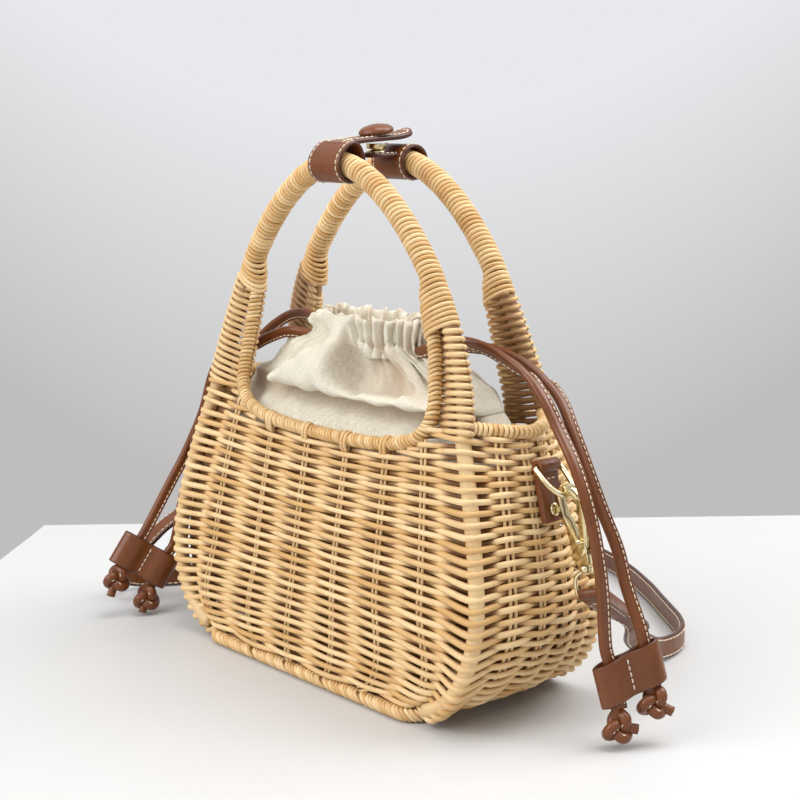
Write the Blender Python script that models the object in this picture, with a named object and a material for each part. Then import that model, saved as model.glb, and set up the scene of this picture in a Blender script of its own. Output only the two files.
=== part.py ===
"""Woven cane basket bag with two arched handles, a drawstring lining and a clip-on shoulder strap.

Units are metres, +Z is up and +Y runs from the front panel to the back panel. The bag stands on z = 0.
"""

import math

import bmesh
import bpy
from mathutils import Matrix, Vector

MM = 0.001

# Basket
BASE_LENGTH = 172.0 * MM
BASE_DEPTH = 103.0 * MM
BASE_CORNER = 14.0 * MM
BASE_THICKNESS = 4.5 * MM
BORDER_RADIUS = 3.3 * MM
BELLY_HEIGHT = 57.0 * MM
BELLY_POST_WIDTH = 244.0 * MM
BELLY_END_WIDTH = 263.0 * MM
RIM_HEIGHT = 136.0 * MM
RIM_POST_WIDTH = 203.0 * MM
RIM_END_WIDTH = 232.0 * MM
RIM_DEPTH = 67.0 * MM
PANEL_CROWN = 5.0 * MM
FOOT_POST_WIDTH = 168.0 * MM
FOOT_END_WIDTH = 171.0 * MM
WALL_THICKNESS = 6.0 * MM
END_DIP = 3.0 * MM
END_RIM_RISE = 7.4 * MM
END_RIM_RADIUS = 3.0 * MM
END_SEAT = 0.2 * MM
SHOULDER_CURVE = 1.45
LEAN_CURVE = 1.5

# Handles
HANDLE_HEIGHT = 262.0 * MM
HANDLE_SPREAD = 194.0 * MM
HANDLE_SPACING = 42.0 * MM
HANDLE_LEAN_TOP = 205.0 * MM
HOOP_RADIUS = 4.2 * MM
HOOP_INSET = 4.5 * MM
HOOP_FOOT = 10.6 * MM
ARCH_WIDTH_POWER = 1.8
ARCH_HEIGHT_POWER = 1.45
WRAP_RADIUS = 6.2 * MM
WRAP_START = 220.0 * MM

# Window under each handle
WINDOW_WIDTH = 149.0 * MM
WINDOW_SILL = 128.0 * MM
WINDOW_SAG = 1.2 * MM
WINDOW_ROD_RADIUS = 3.0 * MM
WINDOW_TOP = 204.0 * MM
GUSSET_TOP = 190.0 * MM

# Leather on the handles and the snap between them
SLEEVE_LENGTH = 24.0 * MM
LEATHER = 1.7 * MM
TAB_WIDTH = 15.0 * MM
TAB_THICKNESS = 2.2 * MM
TAB_OVERHANG = 6.0 * MM
TAB_HINGE_INSET = 6.0 * MM
SNAP_CAP_RADIUS = 8.5 * MM
SNAP_CAP_HEIGHT = 4.6 * MM
SNAP_RADIUS = 5.0 * MM
SNAP_STUD_RADIUS = 2.4 * MM
SNAP_HEIGHT = 2.6 * MM
SNAP_Y = 5.0 * MM

# Lining
LINING_THICKNESS = 1.5 * MM
LINING_CLEARANCE = 3.0 * MM
NECK_HEIGHT = 170.0 * MM
NECK_LENGTH = 78.0 * MM
NECK_DEPTH = 28.0 * MM
FRILL_HEIGHT = 16.0 * MM
FRILL_FLARE = 6.0 * MM
LINING_FOLD = 1.4 * MM

# Side tabs, rings and snap hooks
SIDE_TAB_WIDTH = 13.0 * MM
SIDE_TAB_DROP = 26.0 * MM
SIDE_TAB_THICKNESS = 3.2 * MM
SIDE_TAB_BELOW_RIM = 11.0 * MM
RING_WIRE = 1.25 * MM
RING_WIDTH = 18.6 * MM
RING_DROP = 18.0 * MM
RING_CORNER = 1.2 * MM
RING_LEAN = 35.0
RIVET_RADIUS = 3.2 * MM
RIVET_HEIGHT = 1.2 * MM
RIVET_SHANK = 1.2 * MM
RIVET_DROP = 20.5 * MM
HOOK_LEAN = -3.5
HOOK_PLAY = 1.2 * MM
HOOK_SWAY = 8.0
HOOK_EYE = 4.2 * MM
HOOK_BAR = 2.7 * MM
HOOK_THICKNESS = 4.2 * MM
HOOK_LENGTH = 33.0 * MM
GATE_SLOT = 2.2 * MM
GATE_CLEARANCE = 0.3 * MM
GATE_PIVOT_DROP = 24.0 * MM
GATE_PIVOT_OUT = 2.6 * MM
GATE_PIN_RADIUS = 0.7 * MM
SWIVEL_STEM = 1.3 * MM
SWIVEL_DEPTH = 5.0 * MM
SWIVEL_COLLAR = 3.2 * MM
SWIVEL_COLLAR_HEIGHT = 3.6 * MM
LOOP_WIRE = 1.0 * MM
LOOP_WIDTH = 16.4 * MM
LOOP_DROP = 11.0 * MM
LOOP_TURN = -70.0

# Drawstrings, sliders and knots
CORD_RADIUS = 2.2 * MM
SLIDER_LENGTH = 31.0 * MM
SLIDER_HEIGHT = 18.0 * MM
SLIDER_THICKNESS = 9.4 * MM
SLIDER_WAIST = 4.6 * MM
SLIDER_CORD_OFFSET = 9.0 * MM
KNOT_SIZE = 2.2 * MM
KNOT_LIFT = 3.5 * MM
KNOT_CORD = 1.6 * MM
KNOT_DROP = 21.0 * MM
KNOT_SEAT = 0.6 * MM

# Shoulder strap
STRAP_WIDTH = 12.0 * MM
STRAP_THICKNESS = 2.6 * MM
STRAP_END_LENGTH = 30.0 * MM
STRAP_JOIN = 1.0 * MM
STRAP_TWIST_STEPS = 5

# Fits
GAP = 0.3 * MM
CORD_GAP = 0.6 * MM
SLEEVE_GAP = 0.6 * MM
PANEL_GAP = 0.8 * MM

# Facets
TUBE_STEPS = 2
THIN_STEPS = 1
ROUND = 20

# Routes of the free cords, in millimetres, chosen point by point for a rim of this height
DRAWN_RIM = 136.0 * MM
RIGHT_SLIDER = (166.0, 10.0, 34.0)
RIGHT_SLIDER_ACROSS = (0.486, 0.780, 0.394)
RIGHT_SLIDER_DOWN = (0.240, 0.100, -0.966)
LEFT_SLIDER = (-147.0, -47.5, 31.5)
LEFT_SLIDER_ACROSS = (0.420, 0.720, -0.550)
LEFT_SLIDER_DOWN = (-0.133, -0.550, -0.824)
RIGHT_FRONT_ROUTE = ((40.5, -5, 170.5), (48, -5, 173), (57, -4, 177), (68, -1, 178.5), (80, 0, 177.5), (93, 0, 174),
                     (108, 0, 167.5), (119, 0, 157), (127.5, 0.5, 144.5), (140, -1.5, 129),
                     (148.5, -1.7, 111), (153, 0, 90), (155.5, 1, 71))
RIGHT_BACK_ROUTE = ((40.5, 5, 170.5), (48, 5.5, 172), (60, 8, 174.5), (78, 10, 174.5), (96, 11, 170.5), (110, 11, 163.5),
                    (121, 10.5, 154), (129.5, 8.8, 142), (138, 8.8, 126), (146, 10.3, 108),
                    (153.5, 13.5, 89), (158, 14.5, 73))
LEFT_FRONT_ROUTE = ((-40.5, -5, 170.5), (-48, -5.5, 171), (-60, -7.5, 171), (-75, -9, 166), (-90, -9.5, 159.5), (-104, -9.5, 155.5),
                    (-116, -10, 151), (-124, -12.5, 139), (-128.5, -15.5, 121), (-133, -19, 103),
                    (-135.5, -21, 86), (-138, -25.8, 68))
LEFT_BACK_ROUTE = ((-40.5, 5, 170.5), (-48, 5.5, 173.5), (-60, 8, 178.5), (-76, 9.5, 177), (-92, 9.5, 170), (-106, 9, 160.5),
                   (-118, 4, 148), (-126, -4, 136), (-132, -11.4, 122), (-137, -15.5, 107),
                   (-141.5, -22.2, 90), (-145, -31.5, 73))
RIGHT_STRAP_AIM = (127, 42, 39.5)
LEFT_STRAP_AIM = (-160, -34, 35)
STRAP_ROUTE = ((120.5, 62, 28), (114.5, 80, 17.5), (109.5, 100, 8.6), (108, 117, 6.4),
               (103, 131, 6.4), (92, 143, 6.4), (77, 154, 6.4), (60, 166, 6.4), (43, 178, 6.4),
               (13, 196, 6.4), (-17, 209, 6.4), (-60, 221, 6.4), (-98, 217, 6.4), (-113, 205, 6.4),
               (-100, 192, 6.4), (-65, 189, 6.4), (-37, 185, 6.4), (-26, 173, 6.4), (-37, 161, 6.4),
               (-65, 160, 6.4), (-100, 161, 6.4), (-116, 149, 6.4), (-103, 136, 6.4), (-60, 135, 6.4),
               (-20, 133, 6.4), (-7, 121, 6.4), (-20, 108, 6.4), (-60, 105, 6.4), (-105, 106, 6.4),
               (-137, 96, 6.4), (-153, 74, 6.4), (-159, 48, 6.4), (-164, 22, 6.4), (-173, 1, 6.4),
               (-184, -16, 6.4), (-188, -30, 8.5), (-183, -41, 14.5), (-173, -43.5, 23))


def clear_scene():
    for obj in list(bpy.data.objects):
        bpy.data.objects.remove(obj, do_unlink=True)


def material(name, colour, roughness, metallic=0.0):
    found = bpy.data.materials.get(name)
    if found:
        return found
    made = bpy.data.materials.new(name)
    made.use_nodes = True
    shader = made.node_tree.nodes["Principled BSDF"]
    shader.inputs["Base Color"].default_value = (*colour, 1.0)
    shader.inputs["Roughness"].default_value = roughness
    shader.inputs["Metallic"].default_value = metallic
    return made


def cane():
    return material("peeled_cane", (0.66, 0.42, 0.18), 0.5)


def leather():
    return material("tan_leather", (0.20, 0.063, 0.025), 0.45)


def brass():
    return material("pale_gold_zinc", (0.77, 0.60, 0.27), 0.2, 1.0)


def cotton():
    return material("cream_cotton", (0.85, 0.80, 0.70), 0.9)


def link(name, data, finish):
    obj = bpy.data.objects.new(name, data)
    obj.data.materials.append(finish)
    bpy.context.scene.collection.objects.link(obj)
    return obj


def mesh_object(name, bm, finish, matrix=None, smooth=35.0):
    """Turns a bmesh into a named object, moved by a matrix that may mirror it."""
    if matrix is not None:
        bmesh.ops.transform(bm, matrix=matrix, verts=bm.verts)
    bmesh.ops.recalc_face_normals(bm, faces=bm.faces)
    mesh = bpy.data.meshes.new(name)
    bm.to_mesh(mesh)
    bm.free()
    mesh.shade_smooth()
    mesh.set_sharp_from_angle(angle=math.radians(smooth))
    return link(name, mesh, finish)


def pivot_at(name, place):
    """Moves an object's origin to its joint without moving its shape."""
    obj = bpy.data.objects[name]
    shift = Vector(place) - obj.location
    obj.data.transform(Matrix.Translation(-shift))
    obj.location = Vector(place)


def helper(obj):
    obj.hide_render = True
    obj.display_type = "WIRE"
    return obj


def boolean(obj, other, operation):
    modifier = obj.modifiers.new(operation.lower(), "BOOLEAN")
    modifier.operation = operation
    modifier.object = helper(other)
    modifier.solver = "EXACT"
    return obj


def vectors(points):
    return [Vector(point) * MM for point in points]


def smooth_route(points, spacing, closed=False):
    """Points at an even spacing along a smooth curve through the given ones."""
    count = len(points)
    dense = []
    spans = count if closed else count - 1
    for i in range(spans):
        near = [points[(i + k) % count] if closed else points[min(max(i + k, 0), count - 1)] for k in (-1, 0, 1, 2)]
        for step in range(12):
            t = step / 12
            start = 0.5 * (near[2] - near[0])
            end = 0.5 * (near[3] - near[1])
            lift = near[2] - near[1]
            dense.append(near[1] + t * start + t * t * (3 * lift - 2 * start - end)
                         + t ** 3 * (start + end - 2 * lift))
    dense.append(points[0].copy() if closed else points[-1].copy())
    lengths = [0.0]
    for a, b in zip(dense, dense[1:]):
        lengths.append(lengths[-1] + (b - a).length)
    pieces = max(2, round(lengths[-1] / spacing))
    route = []
    k = 0
    for i in range(pieces if closed else pieces + 1):
        want = lengths[-1] * i / pieces
        while k < len(dense) - 2 and lengths[k + 1] < want:
            k += 1
        share = (want - lengths[k]) / max(lengths[k + 1] - lengths[k], 1e-9)
        route.append(dense[k].lerp(dense[k + 1], min(max(share, 0.0), 1.0)))
    return route


def tube(name, points, radius, finish, steps=TUBE_STEPS, closed=False):
    """A curve object with a round bevel and filled ends."""
    curve = bpy.data.curves.new(name, "CURVE")
    curve.dimensions = "3D"
    curve.bevel_depth = radius
    curve.bevel_resolution = steps
    curve.use_fill_caps = True
    curve.twist_mode = "MINIMUM"
    spline = curve.splines.new("POLY")
    spline.points.add(len(points) - 1)
    for point, place in zip(spline.points, points):
        point.co = (*place, 1.0)
    spline.use_cyclic_u = closed
    spline.use_smooth = True
    return link(name, curve, finish)


def frames(points):
    """A tangent and two cross directions at each point, carried along without twist."""
    tangents = []
    for i in range(len(points)):
        ahead = points[min(i + 1, len(points) - 1)]
        behind = points[max(i - 1, 0)]
        tangents.append((ahead - behind).normalized())
    across = tangents[0].orthogonal().normalized()
    found = []
    for tangent in tangents:
        across = (across - tangent * across.dot(tangent)).normalized()
        found.append((tangent, across, tangent.cross(across)))
    return found


def hollow_tube(points, outer, inner, sides):
    """A bored tube whose outer radius may change from point to point."""
    bm = bmesh.new()
    rings = []
    for (_, across, up), place, radius in zip(frames(points), points, outer):
        pair = []
        for reach in (radius, inner):
            turn = [2 * math.pi * k / sides for k in range(sides)]
            pair.append([bm.verts.new(place + reach * (math.cos(a) * across + math.sin(a) * up)) for a in turn])
        rings.append(pair)
    for k in range(sides):
        n = (k + 1) % sides
        for near, far in zip(rings, rings[1:]):
            bm.faces.new((near[0][k], near[0][n], far[0][n], far[0][k]))
            bm.faces.new((near[1][n], near[1][k], far[1][k], far[1][n]))
        for outside, inside in (rings[0], rings[-1]):
            bm.faces.new((outside[k], outside[n], inside[n], inside[k]))
    return bm


def plate(outline, thickness):
    """An outline in x and z, extruded to both sides of y = 0."""
    bm = bmesh.new()
    face = bm.faces.new([bm.verts.new((x, -thickness / 2, z)) for x, z in outline])
    grown = bmesh.ops.extrude_face_region(bm, geom=[face])
    moved = [item for item in grown["geom"] if isinstance(item, bmesh.types.BMVert)]
    bmesh.ops.translate(bm, verts=moved, vec=(0, thickness, 0))
    return bm


def turned(profile, sides=ROUND):
    """A profile of radius and height spun round the z axis."""
    bm = bmesh.new()
    places = [bm.verts.new((radius, 0, height)) for radius, height in profile]
    edges = [bm.edges.new(pair) for pair in zip(places, places[1:])]
    bmesh.ops.spin(bm, geom=places + edges, cent=(0, 0, 0), axis=(0, 0, 1), angle=2 * math.pi,
                   steps=sides, use_merge=True)
    bmesh.ops.remove_doubles(bm, verts=bm.verts, dist=1e-7)
    return bm


def rod_between(start, end, radius, sides=ROUND):
    """A plain round bar from one point to another."""
    bm = bmesh.new()
    length = (end - start).length
    bmesh.ops.create_cone(bm, cap_ends=True, segments=sides, radius1=radius, radius2=radius, depth=length)
    turn = Vector((0, 0, 1)).rotation_difference((end - start).normalized()).to_matrix().to_4x4()
    bmesh.ops.transform(bm, matrix=Matrix.Translation((start + end) / 2) @ turn, verts=bm.verts)
    return bm


def arc(centre, radius, first, last, steps):
    """Points of a circular arc in a plane, with angles in degrees."""
    turn = [math.radians(first + (last - first) * k / steps) for k in range(steps + 1)]
    return [(centre[0] + radius * math.cos(a), centre[1] + radius * math.sin(a)) for a in turn]


# Shape of the basket

FOOT = 2 * BORDER_RADIUS + GAP


def climb(z):
    return min(max((z - FOOT) / (RIM_HEIGHT - FOOT), 0.0), 1.0)


def swell(z, foot, belly, rim):
    """Half width at a height: a quarter ellipse up to the belly, then a power curve in to the rim."""
    if z < BELLY_HEIGHT:
        drop = (BELLY_HEIGHT - max(z, FOOT)) / (BELLY_HEIGHT - FOOT)
        return 0.5 * (foot + (belly - foot) * math.sqrt(max(1 - drop * drop, 0.0)))
    rise = (min(z, RIM_HEIGHT) - BELLY_HEIGHT) / (RIM_HEIGHT - BELLY_HEIGHT)
    return 0.5 * (belly + (rim - belly) * rise ** SHOULDER_CURVE)


def post_x(z):
    return swell(z, FOOT_POST_WIDTH, BELLY_POST_WIDTH, RIM_POST_WIDTH)


def end_x(z):
    return swell(z, FOOT_END_WIDTH, BELLY_END_WIDTH, RIM_END_WIDTH)


def panel_depth(z):
    """Half depth of a panel's outer face on its middle line, leaning in to the handles above the rim."""
    if z <= RIM_HEIGHT:
        return 0.5 * (BASE_DEPTH + (RIM_DEPTH - BASE_DEPTH) * climb(z) ** LEAN_CURVE)
    top = 0.5 * (HANDLE_SPACING + WALL_THICKNESS)
    rise = min((z - RIM_HEIGHT) / (HANDLE_LEAN_TOP - RIM_HEIGHT), 1.0)
    return top + (0.5 * RIM_DEPTH - top) * (1 - rise) ** 2


def panel_y(x, z):
    """Half depth of a panel's outer face anywhere on it."""
    crown = PANEL_CROWN * (1 - 0.6 * climb(z))
    if z > RIM_HEIGHT:
        crown *= max(1 - (z - RIM_HEIGHT) / (HANDLE_LEAN_TOP - RIM_HEIGHT), 0.0)
    return panel_depth(z) - crown * min(abs(x) / post_x(z), 1.0) ** 2


def panel_mid(x, z, side):
    return Vector((x, side * (panel_y(x, z) - WALL_THICKNESS / 2), z))


def arch_x(z):
    """Half width of the handle arch's middle line at a height above the rim."""
    rise = min(max((z - RIM_HEIGHT) / (HANDLE_HEIGHT - RIM_HEIGHT), 0.0), 1.0)
    return 0.5 * HANDLE_SPREAD * (1 - rise ** ARCH_HEIGHT_POWER) ** (1 / ARCH_WIDTH_POWER)


def hoop_x(z):
    return arch_x(z) if z > RIM_HEIGHT else post_x(z) - HOOP_INSET


def hoop_half():
    """Height and half width down one half of a hoop, from the crown of the handle to its foot."""
    steps = 26
    line = []
    for k in range(steps + 1):
        turn = 0.5 * math.pi * k / steps
        x = 0.5 * HANDLE_SPREAD * math.sin(turn) ** (2 / ARCH_WIDTH_POWER)
        rise = max(math.cos(turn), 0.0) ** (2 / ARCH_HEIGHT_POWER)
        line.append((x, RIM_HEIGHT + (HANDLE_HEIGHT - RIM_HEIGHT) * rise))
    levels = 16
    for k in range(1, levels + 1):
        share = 1 - (1 - k / levels) ** 1.4
        z = RIM_HEIGHT + (HOOP_FOOT - RIM_HEIGHT) * share
        line.append((hoop_x(z), z))
    return line


def hoop_points(side):
    half = [panel_mid(x, z, side) for x, z in hoop_half()]
    mirrored = [Vector((-p.x, p.y, p.z)) for p in reversed(half[1:])]
    return mirrored + half


def hoop_route(side):
    return smooth_route(hoop_points(side), 11.0 * MM)


def clip_to_width(route, half):
    """The stretch of a route within a half width, with its two cut ends on the limits."""
    kept = []
    for a, b in zip(route, route[1:]):
        for limit in (-half, half):
            if (a.x - limit) * (b.x - limit) < 0:
                kept.append(a.lerp(b, (limit - a.x) / (b.x - a.x)))
        if abs(b.x) < half - 0.5 * MM and b.z > RIM_HEIGHT:
            kept.append(b)
    return kept


def inward(z):
    """Unit direction in x and z that points from a hoop into its panel."""
    step = 0.5 * MM
    rise = Vector((hoop_x(z + step) - hoop_x(z - step), 2 * step)).normalized()
    return Vector((-rise.y, rise.x))


def beside_hoop(z, reach):
    move = inward(z) * reach
    return Vector((hoop_x(z) + move.x, z + move.y))


def ear_edge(z):
    """Place beside a hoop where the window's rod leaves no room for a woven ear between them."""
    return beside_hoop(z, HOOP_RADIUS + WINDOW_ROD_RADIUS + 2 * PANEL_GAP)


def window_line():
    """Middle line of the rod round a window, in x and z, from its right end down to the sill's middle."""
    half = WINDOW_WIDTH / 2
    rise = WINDOW_TOP - WINDOW_SILL
    end = beside_hoop(WINDOW_TOP, HOOP_RADIUS + WINDOW_ROD_RADIUS + GAP)
    widest, middle, upper = (WINDOW_SILL + share * rise for share in (0.302, 0.432, 0.669))
    ear = ear_edge(widest).x - half
    return [end,
            Vector((ear_edge(upper).x - 0.57 * ear, upper)),
            Vector((ear_edge(middle).x - 0.86 * ear, middle)),
            Vector((half, widest)),
            Vector((half - 1.6 * MM, WINDOW_SILL + 0.183 * rise)),
            Vector((half - 7.5 * MM, WINDOW_SILL + 0.0917 * rise)),
            Vector((half - 17.5 * MM, WINDOW_SILL + 0.0388 * rise)),
            Vector((half - 36.0 * MM, WINDOW_SILL)),
            Vector((0.0, WINDOW_SILL - WINDOW_SAG))]


def window_route(spacing):
    """Even points of the whole rod in x and z, from its left end to its right end."""
    right = [Vector((p.x, 0, p.y)) for p in window_line()]
    left = [Vector((-p.x, 0, p.z)) for p in right[:-1]]
    return smooth_route(left + right[::-1], spacing)


def mirror_x(side):
    return Matrix.Diagonal((side, 1, 1, 1))


# Basket pieces

def rounded_rectangle(half_x, half_y, radius, steps=4):
    corners = ((1, 1, 0), (-1, 1, 90), (-1, -1, 180), (1, -1, 270))
    line = []
    for sx, sy, first in corners:
        line += arc((sx * (half_x - radius), sy * (half_y - radius)), radius, first, first + 90, steps)
    return line


def base():
    inset = 2 * BORDER_RADIUS + GAP
    outline = rounded_rectangle(BASE_LENGTH / 2 - inset, BASE_DEPTH / 2 - inset, BASE_CORNER - inset)
    turn = Matrix.Translation((0, 0, BASE_THICKNESS / 2)) @ Matrix.Rotation(math.pi / 2, 4, "X")
    mesh_object("base_panel", plate(outline, BASE_THICKNESS), cane(), turn)
    line = rounded_rectangle(BASE_LENGTH / 2 - BORDER_RADIUS, BASE_DEPTH / 2 - BORDER_RADIUS,
                             BASE_CORNER - BORDER_RADIUS)
    tube("base_border", [Vector((x, y, BORDER_RADIUS)) for x, y in line], BORDER_RADIUS, cane(), closed=True)


def thick_sheet(name, rows, thickness, finish):
    """A grid of outer points with a Solidify wall on its inner side."""
    bm = bmesh.new()
    grid = [[bm.verts.new(place) for place in row] for row in rows]
    for low, high in zip(grid, grid[1:]):
        for k in range(len(low) - 1):
            bm.faces.new((low[k], low[k + 1], high[k + 1], high[k]))
    mesh = bpy.data.meshes.new(name)
    bm.to_mesh(mesh)
    bm.free()
    mesh.shade_smooth()
    obj = link(name, mesh, finish)
    wall = obj.modifiers.new("wall", "SOLIDIFY")
    wall.thickness = thickness
    wall.offset = -1.0
    wall.use_even_offset = False
    return obj


def panel_edge(columns):
    """Outer edge of a panel in x and z: down one hoop, along the foot and up the other hoop."""
    reach = HOOP_RADIUS + PANEL_GAP
    half = columns // 2
    down = max(2, round(half * 0.62))
    line = []
    for k in range(down + 1):
        share = k / down
        z = GUSSET_TOP + (HOOP_FOOT - GUSSET_TOP) * 0.5 * (1 - math.cos(math.pi * share))
        line.append(beside_hoop(z, reach))
    corner = Vector((hoop_x(HOOP_FOOT) - 2 * HOOP_RADIUS, FOOT))
    rest = half - down
    for k in range(1, rest + 1):
        share = (k - 1) / (rest - 1)
        line.append(Vector((corner.x * (1 - share), FOOT)))
    return line


def panel(name, side):
    """A woven panel: a ruled strip between its outer edge and the rod round the window."""
    columns, across = 36, 5
    outer = panel_edge(columns)
    rod = window_route(1.5 * MM)
    middle = len(rod) // 2
    inner = []
    for i, place in enumerate(rod[middle:]):
        k = middle + i
        along = (rod[min(k + 1, len(rod) - 1)] - rod[k - 1]).normalized()
        away = Vector((along.z, 0, -along.x)) * (WINDOW_ROD_RADIUS + PANEL_GAP)
        inner.append(Vector((place.x + away.x, place.z + away.z)))
    inner = [p for p in inner if p.y < GUSSET_TOP - 1.0 * MM][::-1]
    steps = len(outer) - 1
    half = []
    for k, start in enumerate(outer):
        where = (len(inner) - 1) * k / steps
        low = min(int(where), len(inner) - 2)
        end = inner[low].lerp(inner[low + 1], where - low)
        half.append([start.lerp(end, n / across) for n in range(across + 1)])
    half[-1] = [Vector((0.0, p.y)) for p in half[-1]]
    right = [[Vector((p.x, side * panel_y(p.x, p.y), p.y)) for p in row] for row in half]
    left = [[Vector((-p.x, p.y, p.z)) for p in row] for row in right[:-1]]
    rows = left + right[::-1]
    if side < 0:
        rows = rows[::-1]
    thick_sheet(name, rows, WALL_THICKNESS, cane())


def end_height(share):
    """Top edge of an end wall, lowest at the middle."""
    return RIM_HEIGHT + END_RIM_RISE - END_DIP * (1 - abs(share)) - END_RIM_RADIUS + END_SEAT


def end_point(share, z):
    """Outer face of the right end wall, at a share of its half depth."""
    reach = panel_y(post_x(z), z) - WALL_THICKNESS / 2
    y = share * (reach - HOOP_RADIUS - PANEL_GAP)
    bow = end_x(z) - post_x(z)
    return Vector((end_x(z) - bow * (y / reach) ** 2, y, z))


def end_wall(name, side):
    rows = []
    levels, columns = 10, 8
    for i in range(levels + 1):
        row = []
        for k in range(columns + 1):
            share = 2 * k / columns - 1
            top = end_height(share)
            z = FOOT + (top - FOOT) * (i / levels) ** 1.25
            row.append(end_point(share, z))
        rows.append(row)
    if side < 0:
        rows = [[Vector((-p.x, p.y, p.z)) for p in row[::-1]] for row in rows]
    thick_sheet(name, rows, WALL_THICKNESS, cane())


def end_rim(name, side):
    reach = RIM_HEIGHT + END_RIM_RISE
    hoop = panel_mid(arch_x(reach), reach, 1)
    stop = hoop.y - HOOP_RADIUS - END_RIM_RADIUS + 1.0 * MM
    line = []
    for k in range(-4, 5):
        share = k / 4
        top = end_height(share) + END_RIM_RADIUS - END_SEAT
        x = end_x(top) - WALL_THICKNESS / 2 - (end_x(top) - hoop.x - 3.5 * MM) * share ** 2
        line.append(Vector((side * x, share * stop, top)))
    tube(name, smooth_route(line, 6.5 * MM), END_RIM_RADIUS, cane())


def hoop(name, side):
    tube(name, hoop_route(side), HOOP_RADIUS, cane())


def window_rod(name, side):
    route = [panel_mid(p.x, p.z, side) for p in window_route(10.0 * MM)]
    tube(name, route, WINDOW_ROD_RADIUS, cane())


def wrap(name, side):
    """The cane wound round a handle, as one bored grip."""
    points = [p for p in hoop_route(side) if p.z > WRAP_START]
    bm = hollow_tube(points, [WRAP_RADIUS] * len(points), HOOP_RADIUS + GAP, 10)
    mesh_object(name, bm, cane(), smooth=60.0)


# Leather sleeves and the snap

SLEEVE_INNER = WRAP_RADIUS + SLEEVE_GAP
SLEEVE_OUTER = SLEEVE_INNER + LEATHER
TAB_BOTTOM = HANDLE_HEIGHT + SLEEVE_OUTER + GAP
HANDLE_Y = HANDLE_SPACING / 2
TAB_HINGE_Y = -HANDLE_Y + TAB_HINGE_INSET
TAB_HINGE_Z = TAB_BOTTOM + TAB_THICKNESS / 2
TAB_END_Y = HANDLE_Y + TAB_OVERHANG


def sleeve(side):
    points = clip_to_width(hoop_route(side), SLEEVE_LENGTH / 2)
    return hollow_tube(points, [SLEEVE_OUTER] * len(points), SLEEVE_INNER, 12)


def slab(name, low, high):
    """A plain block between two corners, used to grow or cut a piece."""
    bm = bmesh.new()
    bmesh.ops.create_cube(bm, size=1.0)
    size = Vector(high) - Vector(low)
    bmesh.ops.scale(bm, vec=size, verts=bm.verts)
    bmesh.ops.translate(bm, vec=(Vector(low) + Vector(high)) / 2, verts=bm.verts)
    return mesh_object(name, bm, leather())


def front_sleeve():
    obj = mesh_object("front_handle_sleeve", sleeve(-1), leather())
    stub = slab("front_stub", (-TAB_WIDTH / 2, -HANDLE_Y - 2.0 * MM, HANDLE_HEIGHT + SLEEVE_OUTER - 1.0 * MM),
                (TAB_WIDTH / 2, TAB_HINGE_Y - TAB_THICKNESS / 2 - GAP, TAB_BOTTOM + GAP))
    boolean(obj, stub, "UNION")


def back_sleeve():
    obj = mesh_object("back_handle_sleeve", sleeve(1), leather())
    top = TAB_BOTTOM - SNAP_HEIGHT - 2.4 * MM
    tongue = slab("back_tongue", (-TAB_WIDTH / 2, SNAP_Y - SNAP_RADIUS - 2.5 * MM, top - TAB_THICKNESS),
                  (TAB_WIDTH / 2, HANDLE_Y - SLEEVE_INNER - 0.3 * MM, top))
    boolean(obj, tongue, "UNION")
    profile = ((0, top + GAP), (SNAP_RADIUS, top + GAP), (SNAP_RADIUS, top + 1.1 * MM),
               (SNAP_STUD_RADIUS, top + 1.5 * MM), (SNAP_STUD_RADIUS, TAB_BOTTOM - 1.0 * MM),
               (0, TAB_BOTTOM - 0.8 * MM))
    mesh_object("snap_stud", turned(profile), brass(), Matrix.Translation((0, SNAP_Y, 0)))


def closure_tab():
    half = TAB_WIDTH / 2
    end = arc((0, TAB_END_Y - TAB_HINGE_Y - half), half, 0, 180, 10)
    near = 0.0
    outline = [(-half, near), (half, near), *end]
    bm = bmesh.new()
    face = bm.faces.new([bm.verts.new((x, y, -TAB_THICKNESS / 2)) for x, y in outline])
    grown = bmesh.ops.extrude_face_region(bm, geom=[face])
    moved = [item for item in grown["geom"] if isinstance(item, bmesh.types.BMVert)]
    bmesh.ops.translate(bm, verts=moved, vec=(0, 0, TAB_THICKNESS))
    obj = mesh_object("closure_tab", bm, leather())
    obj.location = (0, TAB_HINGE_Y, TAB_HINGE_Z)
    bevel = obj.modifiers.new("rounded_edges", "BEVEL")
    bevel.width = 0.5 * MM
    bevel.segments = 2
    top = TAB_BOTTOM + TAB_THICKNESS + GAP
    dome = [(SNAP_CAP_RADIUS * math.cos(a), top + 1.0 * MM + (SNAP_CAP_HEIGHT - 1.0 * MM) * math.sin(a))
            for a in (math.radians(15 * k) for k in range(6))]
    profile = [(0, top), (SNAP_CAP_RADIUS - 0.8 * MM, top), *dome, (0, top + SNAP_CAP_HEIGHT)]
    mesh_object("snap_cap", turned(profile, 16), leather(), Matrix.Translation((0, SNAP_Y, 0)))
    low, high = TAB_BOTTOM - GAP - SNAP_HEIGHT, TAB_BOTTOM - GAP
    bore = SNAP_STUD_RADIUS + CORD_GAP
    profile = [(0, high), (SNAP_RADIUS, high), (SNAP_RADIUS, low + 0.4 * MM), (SNAP_RADIUS - 0.4 * MM, low),
               (bore, low), (bore, high - 0.35 * MM), (0, high - 0.35 * MM)]
    mesh_object("snap_socket", turned(profile), brass(), Matrix.Translation((0, SNAP_Y, 0)))


# Lining

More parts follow.
